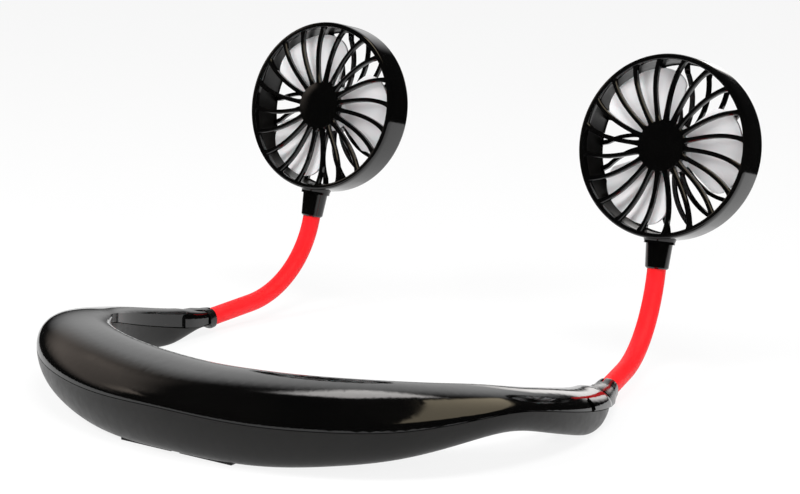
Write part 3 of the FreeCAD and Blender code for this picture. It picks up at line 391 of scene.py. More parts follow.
class FormTree:
    """A Geometry Nodes tree that makes a finished mesh from a form."""

    def __init__(self, name: str, settings: dict[str, str]) -> None:
        """Start the tree with its sockets.

        Args:
            name: The tree's name.
            settings: Socket type of each setting, by name.
        """
        self.tree = bpy.data.node_groups.new(name, "GeometryNodeTree")
        face = self.tree.interface
        face.new_socket("Form", in_out="INPUT", socket_type="NodeSocketGeometry")
        self.inputs = {}
        for setting, kind in (*settings.items(), ("Finish", "NodeSocketMaterial")):
            self.inputs[setting] = face.new_socket(setting, in_out="INPUT", socket_type=kind).identifier
        face.new_socket("Result", in_out="OUTPUT", socket_type="NodeSocketGeometry")
        self.start = self.add("NodeGroupInput").outputs
        self.stop = self.add("NodeGroupOutput").inputs

    def add(self, kind: str) -> bpy.types.Node:
        """Add one node.

        Args:
            kind: The node's type.

        Returns:
            The new node.
        """
        return self.tree.nodes.new(kind)

    def join(self, source: bpy.types.NodeSocket, target: bpy.types.NodeSocket) -> None:
        """Link an output to an input.

        Args:
            source: The output.
            target: The input.
        """
        self.tree.links.new(source, target)

    def close(self, geometry: bpy.types.NodeSocket) -> None:
        """Paint the geometry and make it the tree's result.

        Args:
            geometry: What the tree has made.
        """
        real, paint = self.add("GeometryNodeRealizeInstances"), self.add("GeometryNodeSetMaterial")
        self.join(geometry, real.inputs["Geometry"])
        self.join(real.outputs["Geometry"], paint.inputs["Geometry"])
        self.join(self.start["Finish"], paint.inputs["Material"])
        self.join(paint.outputs["Geometry"], self.stop["Result"])

    def run(self, form: bpy.types.Mesh, slot: str, settings: dict[str, float]) -> bpy.types.Mesh:
        """Send a form through the tree.

        Args:
            form: The form.
            slot: The finish.
            settings: Value of each setting, by name.

        Returns:
            The result, as a plain mesh.
        """
        carrier = bpy.data.objects.new(form.name, form)
        bpy.context.scene.collection.objects.link(carrier)
        modifier = carrier.modifiers.new(self.tree.name, "NODES")
        modifier.node_group = self.tree
        modifier[self.inputs["Finish"]] = MATERIALS[slot]
        for setting, value in settings.items():
            modifier[self.inputs[setting]] = value
        depsgraph = bpy.context.evaluated_depsgraph_get()
        made = bpy.data.meshes.new_from_object(carrier.evaluated_get(depsgraph))
        carrier.modifiers.remove(modifier)
        bpy.data.objects.remove(carrier)
        return made


class RoundTree(FormTree):
    """Geometry Nodes that repeat a form evenly round the Z axis."""

    def __init__(self) -> None:
        """Build the tree once."""
        super().__init__("round_repeat", {"Count": "NodeSocketInt"})
        points, number = self.add("GeometryNodePoints"), self.add("GeometryNodeInputIndex")
        step, turn = self.add("ShaderNodeMath"), self.add("ShaderNodeMath")
        step.operation, turn.operation = "DIVIDE", "MULTIPLY"
        step.inputs[0].default_value = math.tau
        axis, copies = self.add("ShaderNodeCombineXYZ"), self.add("GeometryNodeInstanceOnPoints")
        self.join(self.start["Count"], points.inputs["Count"])
        self.join(self.start["Count"], step.inputs[1])
        self.join(step.outputs["Value"], turn.inputs[0])
        self.join(number.outputs["Index"], turn.inputs[1])
        self.join(turn.outputs["Value"], axis.inputs["Z"])
        self.join(points.outputs[0], copies.inputs["Points"])
        self.join(self.start["Form"], copies.inputs["Instance"])
        self.join(axis.outputs["Vector"], copies.inputs["Rotation"])
        self.close(copies.outputs["Instances"])


class TubeTree(FormTree):
    """Geometry Nodes that sweep a round section along a line of edges."""

    SIDES = 40
    CREASE = 50.0

    def __init__(self) -> None:
        """Build the tree once."""
        super().__init__("sleeve_sweep", {"Radius": "NodeSocketFloat", "Sides": "NodeSocketInt"})
        line, ring = self.add("GeometryNodeMeshToCurve"), self.add("GeometryNodeCurvePrimitiveCircle")
        sweep = self.add("GeometryNodeCurveToMesh")
        sweep.inputs["Fill Caps"].default_value = True
        self.join(self.start["Form"], line.inputs["Mesh"])
        self.join(self.start["Radius"], ring.inputs["Radius"])
        self.join(self.start["Sides"], ring.inputs["Resolution"])
        self.join(line.outputs["Curve"], sweep.inputs["Curve"])
        self.join(ring.outputs["Curve"], sweep.inputs["Profile Curve"])
        self.close(sweep.outputs["Mesh"])

    def sweep(self, name: str, points: list[Vector], radius: float, slot: str) -> bpy.types.Object:
        """A closed tube along a line.

        Args:
            name: The piece's name.
            points: The line.
            radius: The tube's radius.
            slot: The finish.

        Returns:
            The piece, as a plain mesh.
        """
        line = bpy.data.meshes.new(f"{name}_line")
        line.from_pydata(points, [(number, number + 1) for number in range(len(points) - 1)], [])
        made = self.run(line, slot, {"Radius": radius, "Sides": self.SIDES})
        settle(made, self.CREASE)
        return link_mesh(name, made, slot)


@dataclass(frozen=True)
class CollarRing:
    """One section of a collar: how far it lies from the mouth, and its reach from its middle."""

    along: float
    half: float
    rise: float
    drop: float
    aside: float = 0.0
    above: float = 0.0


# From the cover on the band's tip, over the mouth's edge, and back into the bore.
COLLAR_RINGS = (
    CollarRing(-0.0190, half=0.0072, rise=0.0070, drop=0.0004, aside=0.0009, above=0.0005),
    CollarRing(-0.0130, half=0.0069, rise=0.0070, drop=0.0004, aside=0.0006, above=-0.0004),
    CollarRing(-0.0085, half=0.0058, rise=0.0061, drop=0.0004, aside=0.0005, above=-0.0008),
    CollarRing(-0.0066, half=0.0054, rise=0.0050, drop=0.0044, aside=0.0004),
    CollarRing(-0.0050, half=0.0052, rise=0.0049, drop=0.0047, aside=0.0003),
    CollarRing(-0.0030, half=0.0049, rise=0.0048, drop=0.0047, aside=0.0001),
    CollarRing(-0.0005, half=0.00465, rise=0.00465, drop=0.00465),
    CollarRing(0.0, half=0.0045, rise=0.0045, drop=0.0045),
    CollarRing(0.0, half=0.00405, rise=0.00405, drop=0.00405),
    CollarRing(-0.0060, half=0.00405, rise=0.00405, drop=0.00405),
)
# How far each collar's mouth stands back, as the photographed arms were bent by hand.
SET_BACK = {Side.LEFT: 0.0042, Side.RIGHT: 0.0}


@dataclass
class Arm:
    """A bendable arm: the silicone sleeve that follows its core, the collar and the neck."""

    side: Side
    tubes: TubeTree
    mouth: Triple = (0.0992, 0.0374, 0.0068)
    inward: float = math.radians(9.2)
    rise: float = math.radians(5.8)
    run: float = 0.0205
    bend_radius: float = 0.0451
    turn: float = math.radians(71.8)
    sleeve_radius: float = 0.0040
    root: float = 0.0066
    seat: float = 0.0046
    sway: float = 0.0015
    bends: Triple = (math.radians(13.0), math.radians(36.0), math.radians(59.0))
    soft_reach: float = 0.0070
    step: float = 0.0008
    own_half: float = 0.06
    slim_end: float = 0.0063
    collar_foot: float = 0.0066
    collar_columns: int = 72
    collar_crease: float = 30.0
    width_power: float = 0.9
    height_power: float = 0.82
    slit_share: Pair = (0.27, 0.31)
    slit_rows: range = range(4, 9)
    open_share: Pair = (0.30, 0.55)
    open_rows: range = range(2)

    def start(self) -> Vector:
        """The middle of the collar's mouth.

        Returns:
            The point.
        """
        return self.side.mirror(self.mouth)

    def axes(self, turn: float) -> tuple[Vector, Vector]:
        """Tangent and bend normal after a turn.

        Args:
            turn: Angle on the bend.

        Returns:
            Two unit directions.
        """
        ahead = self.side.mirror((-math.sin(self.inward), math.cos(self.inward), 0))
        slope = self.rise + turn
        tangent = ahead * math.cos(slope) + UP * math.sin(slope)
        return tangent, UP * math.cos(slope) - ahead * math.sin(slope)

    def point(self, along: float) -> Vector:
        """A point on the sleeve's middle line.

        Args:
            along: Distance from the collar's mouth.

        Returns:
            The point.
        """
        tangent, normal = self.axes(0.0)
        if along <= self.run:
            return self.start() + tangent * along
        centre = self.start() + tangent * self.run + normal * self.bend_radius
        turn = min((along - self.run) / self.bend_radius, self.turn)
        after = along - self.run - turn * self.bend_radius
        last_tangent, last_normal = self.axes(turn)
        return centre - last_normal * self.bend_radius + last_tangent * after

    def build(self) -> None:
        """Sweep the sleeve in four lengths, each across one joint."""
        word = self.side.word
        joints = [self.sway] + [self.run + bend * self.bend_radius for bend in self.bends]
        whole = self.run + self.turn * self.bend_radius + self.seat
        splits = [-self.root, *[(a + b) / 2 for a, b in zip(joints, joints[1:])], whole]
        bodies = ["band", *[f"arm_{part}_{word}" for part in ("low", "mid", "high", "top")]]
        for number, joint in enumerate(joints):
            stretch = splits[number + 1] - splits[number]
            count = round(stretch / self.step)
            line = [self.point(splits[number] + stretch * i / count) for i in range(count + 1)]
            name = f"sleeve_{word}_{number + 1}"
            piece = self.tubes.sweep(name, line, self.sleeve_radius, "red_silicone")
            start, stop = self.point(joint - self.soft_reach), self.point(joint + self.soft_reach)
            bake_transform(piece, bodies[number], bodies[number + 1], start=start, end=stop)
            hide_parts(f"arm_sleeve_{word}")
            log.info("%s: %s to %s", name, bodies[number], bodies[number + 1])

    def slim_tip(self, mesh: bpy.types.Mesh, reach: float, slim: float) -> None:
        """Draw a shell's tip in towards the arm, as in the photograph.

        Args:
            mesh: The shell's copy.
            reach: Where it starts, back from the mouth.
            slim: Share taken off at the tip.
        """
        tangent, mouth = self.axes(0.0)[0], self.start()
        for vertex in mesh.vertices:
            along = (vertex.co - mouth).dot(tangent)
            if along > -reach and vertex.co.x * self.side.value > self.own_half:
                share = min(max((along + reach) / (reach - self.slim_end), 0.0), 1.0)
                scale = 1 - slim * share * share * (3 - 2 * share)
                axis = mouth + tangent * along
                vertex.co = axis + (vertex.co - axis) * scale

    def collar_ring(self, section: CollarRing) -> list[Vector]:
        """The points of one of the collar's sections.

        Args:
            section: The section.

        Returns:
            A closed ring of points.
        """
        tangent, lift = self.axes(0.0)
        out = UP.cross(tangent).normalized() * -self.side.value
        along = section.along
        if along > -self.collar_foot:
            along -= SET_BACK[self.side] * (along + self.collar_foot) / self.collar_foot
        middle = self.start() + tangent * along + out * section.aside + lift * section.above
        ring = []
        for turn in turns(self.collar_columns):
            across, tall = math.cos(turn), math.sin(turn)
            wide = section.half * math.copysign(abs(across) ** self.width_power, across)
            height = section.rise if tall > 0 else section.drop
            high = height * math.copysign(abs(tall) ** self.height_power, tall)
            ring.append(middle + out * wide + lift * high)
        return ring

    def collar(self) -> None:
        """Lay the long tapered collar over the band's tip, slit on top."""
        left_out = []
        for rows, share in ((self.slit_rows, self.slit_share), (self.open_rows, self.open_share)):
            columns = range(*[round(self.collar_columns * end) for end in share])
            left_out += [(row, column) for row in rows for column in columns]
        name = f"collar_{self.side.word}"
        mesh = skin(name, [self.collar_ring(section) for section in COLLAR_RINGS], frozenset(left_out))
        settle(mesh, self.collar_crease, SEAM_GAP)
        piece = link_mesh(name, mesh, "satin_black")
        piece.data.materials[0] = MATERIALS["collar_grey"]
        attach(piece, "band")
        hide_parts(f"arm_collar_{self.side.word}")
        log.info("%s on band", piece.name)

    def dress(self) -> None:
        """Finish the collar, the neck and the core."""
        word = self.side.word
        self.collar()
        smooth_copy(f"neck_{word}", f"arm_top_{word}", "gloss_black")
        for part in ("root", "low", "mid", "high", "top"):
            dress(f"gooseneck_{part}_{word}", "steel")


@dataclass
class FanHead:
    """One round fan: drum, grilles, hub cap, motor and impeller.

    A flare is its width and the length over which it fades. A skirt ring is its radius and its
    share of the way from the neck's flange to the drum.
    """

    side: Side
    rounds: RoundTree
    centre: Triple = (0.087861, 0.10741, 0.094257)
    up: Triple = (-0.034, 0.212, 0.977)
    front: Triple = (-0.007, -0.977, 0.212)
    radius: float = 0.039
    half_depth: float = 0.0085
    columns: int = 160
    crease: float = 40.0
    spoke_count: int = 20
    spoke_rows: int = 22
    spoke_root: float = 0.0100
    spoke_tip: float = 0.0376
    spoke_width: float = 0.0019
    spoke_depth: float = 0.0020
    spoke_edge: float = 0.0004
    spoke_sink: float = 0.0002
    spoke_phase: float = math.radians(15.5)
    spoke_turn: float = math.radians(4.5)
    turn_start: float = 0.012
    turn_span: float = 0.020
    turn_power: float = 2.2
    dome: float = 0.0003
    tip_flare: Pair = (0.0010, 0.0014)
    root_flare: Pair = (0.0007, 0.0016)
    nudge: float = 1e-5
    lip: float = 0.0366
    rim_depth: float = 0.003
    rim_round: float = 0.0009
    rim_corner: float = 0.00026
    lip_round: float = 0.0007
    lip_corner: float = 0.0002
    hub: float = 0.0110
    hub_depth: float = 0.002
    hub_bevels: tuple[Pair, ...] = ((0.0, 0.0004), (0.0003, 0.0001), (0.0006, 0.0))
    skirt_rings: tuple[Pair, ...] = ((0.0050, 0.0), (0.0067, 0.0), (0.0068, 0.35), (0.0072, 1.0),
                                     (0.0050, 1.0))
    skirt_columns: int = 64
    skirt_gap: float = 0.00065
    skirt_sink: float = 0.0003
    wall_reach: float = 0.0335
    wall_facing: float = -0.02
    lip_top: float = -0.006
    lip_span: Pair = (0.0339, 0.0353)

    def place(self) -> Matrix:
        """The head's frame: x to the right, y up its neck, z out of its front.

        Returns:
            The frame's matrix.
        """
        up = self.side.mirror(self.up).normalized()
        front = self.side.mirror(self.front).normalized()
        right = up.cross(front).normalized()
        turn = Matrix((right, front.cross(right), front)).transposed().to_4x4()
        return Matrix.Translation(self.side.mirror(self.centre)) @ turn

    def spoke_line(self, reach: float) -> Vector:
        """A point on a front spoke's middle line.

        Args:
            reach: Distance from the fan's axis.

        Returns:
            The point on the spoke's front face, in the head's frame.
        """
        bend = self.spoke_turn * (max(reach - self.turn_start, 0.0) / self.turn_span) ** self.turn_power
        turn = self.spoke_phase - bend
        share = (reach - self.spoke_root) / (self.spoke_tip - self.spoke_root)
        height = self.half_depth - self.spoke_sink + self.dome * (1 - share ** 2)
        return Vector((reach * math.cos(turn), reach * math.sin(turn), height))

    def spoke_ring(self, reach: float) -> list[Vector]:
        """A front spoke's section, wider near the hub and the rim.

        Args:
            reach: Distance from the fan's axis.

        Returns:
            A closed ring of points, in the head's frame.
        """
        ahead = (self.spoke_line(reach + self.nudge) - self.spoke_line(reach - self.nudge)).normalized()
        across = UP.cross(ahead).normalized()
        flare = self.tip_flare[0] * math.exp((reach - self.spoke_tip) / self.tip_flare[1])
        flare += self.root_flare[0] * math.exp((self.hub - reach) / self.root_flare[1])
        half, edge, low = (self.spoke_width + flare) / 2, self.spoke_edge, -self.spoke_depth
        section = ((-half, low), (half, low), (half, -edge), (half - edge, 0.0), (edge - half, 0.0),
                   (-half, -edge))
        return [self.spoke_line(reach) + across * x + Vector((0, 0, z)) for x, z in section]

    def spoke(self) -> bpy.types.Mesh:
        """One front spoke.

        Returns:
            Its mesh, in the head's frame.
        """
        length = self.spoke_tip - self.spoke_root
        return skin("spoke", [self.spoke_ring(self.spoke_root + length * row / self.spoke_rows)
                              for row in range(self.spoke_rows + 1)])

    def lathe(self, profile: list[Pair]) -> bpy.types.Mesh:
        """Turn a profile round the fan's axis.

        Args:
            profile: Radius and height of each point.

        Returns:
            The mesh, in the head's frame.
        """
        return skin("turned", [[Vector((radius * math.cos(turn), radius * math.sin(turn), height))
                                for turn in turns(self.columns)] for radius, height in profile])

    def rim_profile(self) -> list[Pair]:
        """The front rim's section, rounded on both edges of its face.

        Returns:
            Radius and height of each point.
        """
        face, outer, inner = self.half_depth, self.radius, self.lip
        return [(outer, face - self.rim_depth), (outer, face - self.rim_round),
                (outer - self.rim_corner, face - self.rim_corner), (outer - self.rim_round, face),
                (inner + self.lip_round, face), (inner + self.lip_corner, face - self.lip_corner),
                (inner, face - self.lip_round), (inner, face - self.rim_depth),
                (outer, face - self.rim_depth)]

    def hub_profile(self) -> list[Pair]:
        """The section of the disc that carries the spokes.

        Returns:
            Radius and height of each point.
        """
        face, back = self.half_depth, self.half_depth - self.hub_depth
        bevels = [(self.hub - inset, face - drop) for inset, drop in self.hub_bevels]
        return [(0.0, back), (self.hub, back), *bevels, (0.0, face)]

    def grille(self) -> None:
        """Build the front grille: rim, hub disc and curved spokes."""
        word = self.side.word
        spokes = self.rounds.run(self.spoke(), "gloss_black", {"Count": self.spoke_count})
        work = bmesh.new()
        for mesh in (spokes, self.lathe(self.rim_profile()), self.lathe(self.hub_profile())):
            work.from_mesh(mesh)
        grille = bpy.data.meshes.new(f"front_grille_{word}_curved")
        work.to_mesh(grille)
        work.free()
        settle(grille, self.crease, SEAM_GAP)
        grille.transform(self.place())
        piece = link_mesh(f"front_grille_{word}_curved", grille, "gloss_black")
        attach(piece, f"head_{word}")
        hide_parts(f"front_grille_{word}")
        log.info("%s: %d faces", piece.name, len(grille.polygons))

    def skirt(self) -> None:
        """Build the short flare between the neck's flange and the drum."""
        name, low, rings = f"neck_skirt_{self.side.word}", -self.radius - self.skirt_gap, []
        for radius, share in self.skirt_rings:
            ring = []
            for turn in turns(self.skirt_columns):
                across, ahead = radius * math.cos(turn), radius * math.sin(turn)
                wall = -math.sqrt((self.radius - self.skirt_sink) ** 2 - across ** 2)
                ring.append(self.place() @ Vector((across, low + (wall - low) * share, ahead)))
            rings.append(ring)
        mesh = skin(name, rings)
        settle(mesh, self.crease, SEAM_GAP)
        piece = link_mesh(name, mesh, "gloss_black")
        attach(piece, f"head_{self.side.word}")
        log.info("%s on head_%s", piece.name, self.side.word)

    def open_drum(self, mesh: bpy.types.Mesh) -> None:
        """Dull the drum inside, and open its back lip to the width in the photograph.

        Args:
            mesh: The drum's copy.
        """
        place = self.place()
        back = place.inverted()
        mesh.materials.append(MATERIALS["satin_black"])
        for face in mesh.polygons:
            middle, normal = back @ face.center, back.to_3x3() @ face.normal
            facing = normal.x * middle.x + normal.y * middle.y
            if math.hypot(middle.x, middle.y) > self.wall_reach and facing < self.wall_facing:
                face.material_index = 1
        for vertex in mesh.vertices:
            local = back @ vertex.co
            reach = math.hypot(local.x, local.y)
            if local.z < self.lip_top and self.lip_span[0] < reach < self.lip_span[1]:
                local.x, local.y = local.x * self.lip / reach, local.y * self.lip / reach
                vertex.co = place @ local

    def dress(self) -> None:
        """Finish each piece of the head."""
        word = self.side.word
        head, wheel = f"head_{word}", f"impeller_{word}"
        self.open_drum(smooth_copy(f"fan_housing_{word}", head, "gloss_black").data)
        self.grille()
        self.skirt()
        smooth_copy(f"hub_cap_{word}", head, "gloss_black")
        smooth_copy(f"impeller_{word}", wheel, "impeller_white")
        dress(f"motor_{word}", "motor_can")
        dress(f"motor_shaft_{word}", "steel")


@dataclass(frozen=True)
class Shell:
    """One half of the band, and where and how far its tips are drawn in."""

    node: str
    slot: str
    reach: float
    slim: float


@dataclass
class Band:
    """The horseshoe band with its electrics."""

    shells: tuple[Shell, ...] = (Shell("upper_shell", "gloss_black", reach=0.024, slim=0.32),
                                 Shell("lower_shell", "satin_black", reach=0.034, slim=0.33))
    inner: dict[str, str] = field(default_factory=lambda: {
        "battery_cells": "cell_wrap", "circuit_board": "board_green", "power_switch": "satin_black",
        "charging_socket": "steel", "status_light": "light_pipe", "case_screws": "steel",
        "foot_pads": "foot_rubber"})

    def dress(self, arms: list[Arm]) -> None:
        """Finish both shells, the button and the pieces inside.

        Args:
            arms: The arms that the shells' tips lead into.
        """
        for shell in self.shells:
            piece = smooth_copy(shell.node, "band", shell.slot)
            for arm in arms:
                arm.slim_tip(piece.data, shell.reach, shell.slim)
        smooth_copy("power_button", "power_button", "satin_black")
        for node, slot in self.inner.items():
            dress(node, slot)


@dataclass(frozen=True)
class Card:
    """A soft-edged card that gloss black reflects.

    Corners are headings in degrees, round from the front and up. The edge is the share of the
    card's width over which it fades.
    """

    name: str
    corners: tuple[Pair, ...]
    tint: Triple
    strength: float
    edge: float


@dataclass(frozen=True)
class Lamp:
    """A softbox, with its power in watts."""

    name: str
    place: Triple
    target: Triple
    size: Pair
    power: float


CARDS = (
    Card("long_box", ((-121, 56), (-146, 39), (-166, 50), (-140, 66)), (1.0, 0.97, 0.95), 4.6, 0.25),
    Card("window", ((43, 31), (-160, 60), (-167, 34), (93, 36)), (1.0, 0.86, 0.62), 2.0, 0.12),
    Card("left_glow", ((-132, 46), (-128, 8), (-50, 3), (-58, 50)), (1.0, 0.86, 0.76), 0.6, 0.35),
    Card("rim_light", ((-150, 1), (-186, 1), (-186, 12), (-150, 12)), (1.0, 0.97, 0.95), 2.2, 0.3),
    Card("left_wall", ((-112, 41), (-118, 31), (-56, 16), (-46, 30)), (1.0, 0.85, 0.72), 1.8, 0.25),
)
LAMPS = (
    Lamp("key", (-0.55, -0.75, 0.85), target=(0, -0.03, 0.04), size=(0.45, 0.6), power=9.0),
    Lamp("window", (0.25, -0.2, 0.95), target=(0, -0.02, 0.03), size=(0.5, 0.25), power=6.0),
    Lamp("side", (0.95, -0.4, 0.45), target=(0.03, 0, 0.06), size=(0.35, 0.5), power=4.0),
)


@dataclass
class Studio:
    """Pale floor, soft light and the camera at the photograph's place, with angles in degrees."""

    azimuth: float = 33.131
    elevation: float = 12.257
    roll: float = math.radians(-1.099)
    aim: Pair = (0.01926, 0.05693)
    distance: float = 0.86522
    lens: float = 94.5
    sensor: float = 36.0
    tent_reach: float = 1.6
    tent_rows: int = 16
    tent_columns: int = 48
    tent_dark: float = 0.012
    tent_pale: float = 1.05
    pale_heading: Pair = (-143, 24)
    pale_span: Pair = (0.88, 0.995)
    hem_reach: float = 0.42
    hem_lift: float = 0.4
    card_reach: float = 1.3
    floor_half: float = 4.0
    floor_tone: float = 0.9
    floor_glow: float = 0.86
    sky_light: float = 0.45

    @staticmethod
    def heading(azimuth: float, elevation: float) -> Vector:
        """Direction from the object.

        Args:
            azimuth: Degrees round from the front.
            elevation: Degrees up.

        Returns:
            A unit direction.
        """
        turn, lift = math.radians(azimuth), math.radians(elevation)
        return Vector((math.sin(turn) * math.cos(lift), -math.cos(turn) * math.cos(lift), math.sin(lift)))

    def camera(self) -> None:
        """Set the camera."""
        back = self.heading(self.azimuth, self.elevation)
        turn = math.radians(self.azimuth)
        right = Vector((math.cos(turn), math.sin(turn), 0))
        up = back.cross(right)
        place = right * self.aim[0] + up * self.aim[1] + back * self.distance
        turned_right = right * math.cos(self.roll) - up * math.sin(self.roll)
        turned_up = right * math.sin(self.roll) + up * math.cos(self.roll)
        data = bpy.data.cameras.new("camera")
        data.lens, data.sensor_width, data.sensor_fit = self.lens, self.sensor, "HORIZONTAL"
        camera = bpy.data.objects.new("camera", data)
        axes = Matrix((turned_right, turned_up, back)).transposed()
        camera.matrix_world = Matrix.Translation(place) @ axes.to_4x4()
        bpy.context.scene.collection.objects.link(camera)
        bpy.context.scene.camera = camera

    def lamp(self, lamp: Lamp) -> None:
        """Add one softbox, which reflections don't show.

        Args:
            lamp: The softbox.
        """
        data = bpy.data.lights.new(lamp.name, "AREA")
        data.shape, data.energy = "RECTANGLE", lamp.power
        data.size, data.size_y = lamp.size
        box = bpy.data.objects.new(lamp.name, data)
        box.location = lamp.place
        box.visible_glossy = False
        ahead = Vector(lamp.target) - Vector(lamp.place)
        box.rotation_euler = ahead.to_track_quat("-Z", "Y").to_euler()
        bpy.context.scene.collection.objects.link(box)

    @staticmethod
    def blank(name: str) -> bpy.types.Material:
        """Start a material without nodes.

        Args:
            name: The material's name.

        Returns:
            The material.
        """
        material = bpy.data.materials.new(name)
        material.use_nodes = True
        material.node_tree.nodes.clear()
        return material

    @staticmethod
    def seen_rays(tree: bpy.types.NodeTree) -> bpy.types.NodeSocket:
        """Tell the rays that show the background from those that light the object.

        Args:
            tree: The material's or the world's tree.

        Returns:
            1 for camera, glossy and transmission rays.
        """
        path = tree.nodes.new("ShaderNodeLightPath")
        result = path.outputs["Is Camera Ray"]
        for name in ("Is Glossy Ray", "Is Transmission Ray"):
            most = tree.nodes.new("ShaderNodeMath")
            most.operation = "MAXIMUM"
            tree.links.new(result, most.inputs[0])
            tree.links.new(path.outputs[name], most.inputs[1])
            result = most.outputs["Value"]
        return result

    @staticmethod
    def mixed(tree: bpy.types.NodeTree, share: bpy.types.NodeSocket, first: bpy.types.ShaderNode,
              second: bpy.types.ShaderNode) -> None:
        """Make the surface a mix of two shaders.

        Args:
            tree: The material's tree.
            share: Share of the second shader.
            first: The first shader.
            second: The second shader.
        """
        mix, out = tree.nodes.new("ShaderNodeMixShader"), tree.nodes.new("ShaderNodeOutputMaterial")
        tree.links.new(share, mix.inputs["Fac"])
        tree.links.new(first.outputs[0], mix.inputs[1])
        tree.links.new(second.outputs[0], mix.inputs[2])
        tree.links.new(mix.outputs["Shader"], out.inputs["Surface"])

    def stand(self, name: str, mesh: bpy.types.Mesh, material: bpy.types.Material) -> bpy.types.Object:
        """Stand a piece of the studio round the object.

        Args:
            name: Its name.
            mesh: Its mesh.
            material: Its finish.

        Returns:
            The new object.
        """
        mesh.materials.append(material)
        piece = bpy.data.objects.new(name, mesh)
        bpy.context.scene.collection.objects.link(piece)
        return piece

    def glossy_only(self, name: str, mesh: bpy.types.Mesh, material: bpy.types.Material) -> None:
        """Stand a piece in the studio that only reflections show.

        Args:
            name: Its name.
            mesh: Its mesh.
            material: Its finish.
        """
        piece = self.stand(name, mesh, material)
        piece.visible_camera = piece.visible_diffuse = False
        piece.visible_shadow = piece.visible_transmission = False

    def tent_grade(self, tree: bpy.types.NodeTree) -> bpy.types.NodeSocket:
        """Grade the tent's light by how near a place is to the pale heading.

        Args:
            tree: The tent material's tree.

        Returns:
            The light's strength.
        """
        nodes, links = tree.nodes, tree.links
        coords, unit = nodes.new("ShaderNodeTexCoord"), nodes.new("ShaderNodeVectorMath")
        unit.operation = "NORMALIZE"
        behind = nodes.new("ShaderNodeVectorMath")
        behind.operation = "DOT_PRODUCT"
        behind.inputs[1].default_value = self.heading(*self.pale_heading)
        grade = nodes.new("ShaderNodeMapRange")
        grade.interpolation_type = "SMOOTHSTEP"
        names = ("From Min", "From Max", "To Min", "To Max")
        for name, limit in zip(names, (*self.pale_span, self.tent_dark, self.tent_pale)):
            grade.inputs[name].default_value = limit
        links.new(coords.outputs["Object"], unit.inputs[0])
        links.new(unit.outputs["Vector"], behind.inputs[0])
        links.new(behind.outputs["Value"], grade.inputs["Value"])
        return grade.outputs["Result"]

    def tent(self) -> None:
        """Hang a tent round the object for gloss black to reflect: dark over the camera, pale behind."""
        rounds = [360 * column / self.tent_columns for column in range(self.tent_columns)]
        rings = [[self.heading(turn, self.hem_lift) * self.hem_reach for turn in rounds]]
        for row in range(self.tent_rows + 1):
            lift = 90 * row / self.tent_rows
            rings.append([self.heading(turn, lift) * self.tent_reach for turn in rounds])
        material = self.blank("tent")
        nodes, links = material.node_tree.nodes, material.node_tree.links
        glow, out = nodes.new("ShaderNodeEmission"), nodes.new("ShaderNodeOutputMaterial")
        links.new(self.tent_grade(material.node_tree), glow.inputs["Strength"])
        links.new(glow.outputs["Emission"], out.inputs["Surface"])
        self.glossy_only("tent", skin("tent", rings), material)

    @staticmethod
    def soft_edge(tree: bpy.types.NodeTree, edge: float) -> bpy.types.NodeSocket:
        """Fade a card out towards its four edges.

        Args:
            tree: The card material's tree.
            edge: Share of the width over which it fades.

        Returns:
            1 in the middle and 0 at the edges.
        """
        nodes, links = tree.nodes, tree.links
        coords, split = nodes.new("ShaderNodeTexCoord"), nodes.new("ShaderNodeSeparateXYZ")
        links.new(coords.outputs["UV"], split.inputs["Vector"])
        soft = nodes.new("ShaderNodeMath")
        soft.operation = "MULTIPLY"
        for number, axis in enumerate(("X", "Y")):
            ramp = nodes.new("ShaderNodeValToRGB")
            stops = ramp.color_ramp.elements
            ramp.color_ramp.interpolation = "EASE"
            stops[0].color = stops[1].color = (0, 0, 0, 1)
            for place in (edge, 1 - edge):
                stops.new(place).color = (1, 1, 1, 1)
            links.new(split.outputs[axis], ramp.inputs["Fac"])
            links.new(ramp.outputs["Color"], soft.inputs[number])
        return soft.outputs["Value"]

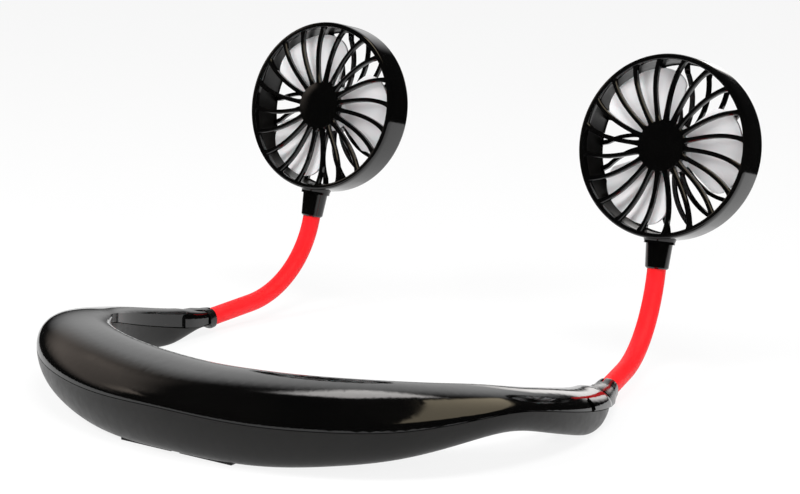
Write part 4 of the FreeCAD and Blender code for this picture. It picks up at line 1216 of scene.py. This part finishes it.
    def card(self, card: Card) -> None:
        """Hang a soft-edged card in the tent.

        Args:
            card: The card.
        """
        mesh = bpy.data.meshes.new(card.name)
        corners = [self.heading(*corner) * self.card_reach for corner in card.corners]
        mesh.from_pydata(corners, [], [(0, 1, 2, 3)])
        layer = mesh.uv_layers.new(name="UVMap")
        for entry, place in zip(layer.data, ((0, 0), (1, 0), (1, 1), (0, 1))):
            entry.uv = place
        material = self.blank(card.name)
        tree = material.node_tree
        glow, clear = tree.nodes.new("ShaderNodeEmission"), tree.nodes.new("ShaderNodeBsdfTransparent")
        glow.inputs["Color"].default_value = (*card.tint, 1)
        glow.inputs["Strength"].default_value = card.strength
        self.mixed(tree, self.soft_edge(tree, card.edge), clear, glow)
        self.glossy_only(card.name, mesh, material)

    def floor(self) -> None:
        """Lay the pale floor."""
        half = self.floor_half
        mesh = bpy.data.meshes.new("floor")
        corners = [(-half, -half, 0), (half, -half, 0), (half, half, 0), (-half, half, 0)]
        mesh.from_pydata(corners, [], [(0, 1, 2, 3)])
        material = self.blank("floor")
        tree = material.node_tree
        diffuse, glow = tree.nodes.new("ShaderNodeBsdfDiffuse"), tree.nodes.new("ShaderNodeEmission")
        diffuse.inputs["Color"].default_value = (self.floor_tone, self.floor_tone, self.floor_tone, 1)
        share = tree.nodes.new("ShaderNodeMath")
        share.operation = "MULTIPLY"
        share.inputs[1].default_value = self.floor_glow
        tree.links.new(self.seen_rays(tree), share.inputs[0])
        self.mixed(tree, share.outputs["Value"], diffuse, glow)
        self.stand("floor", mesh, material)

    def world(self) -> None:
        """White behind the object, dim grey all round it."""
        world = bpy.data.worlds.new("studio")
        world.use_nodes = True
        nodes, links = world.node_tree.nodes, world.node_tree.links
        background = nodes["Background"]
        background.inputs["Color"].default_value = (1, 1, 1, 1)
        blend = nodes.new("ShaderNodeMapRange")
        blend.inputs["To Min"].default_value = self.sky_light
        blend.inputs["To Max"].default_value = 1.0
        links.new(self.seen_rays(world.node_tree), blend.inputs["Value"])
        links.new(blend.outputs["Result"], background.inputs["Strength"])
        bpy.context.scene.world = world

    def build(self) -> None:
        """Make the whole studio."""
        bpy.context.scene.view_settings.view_transform = "Standard"
        self.camera()
        self.floor()
        self.world()
        self.tent()
        for card in CARDS:
            self.card(card)
        for lamp in LAMPS:
            self.lamp(lamp)
        log.info("studio: %d cards, %d lamps", len(CARDS), len(LAMPS))


def main() -> None:
    """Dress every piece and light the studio."""
    tubes, rounds = TubeTree(), RoundTree()
    arms = [Arm(side, tubes) for side in Side]
    Band().dress(arms)
    for arm in arms:
        arm.build()
        arm.dress()
        FanHead(arm.side, rounds).dress()
    Studio().build()


if __name__ == "__main__":
    main()
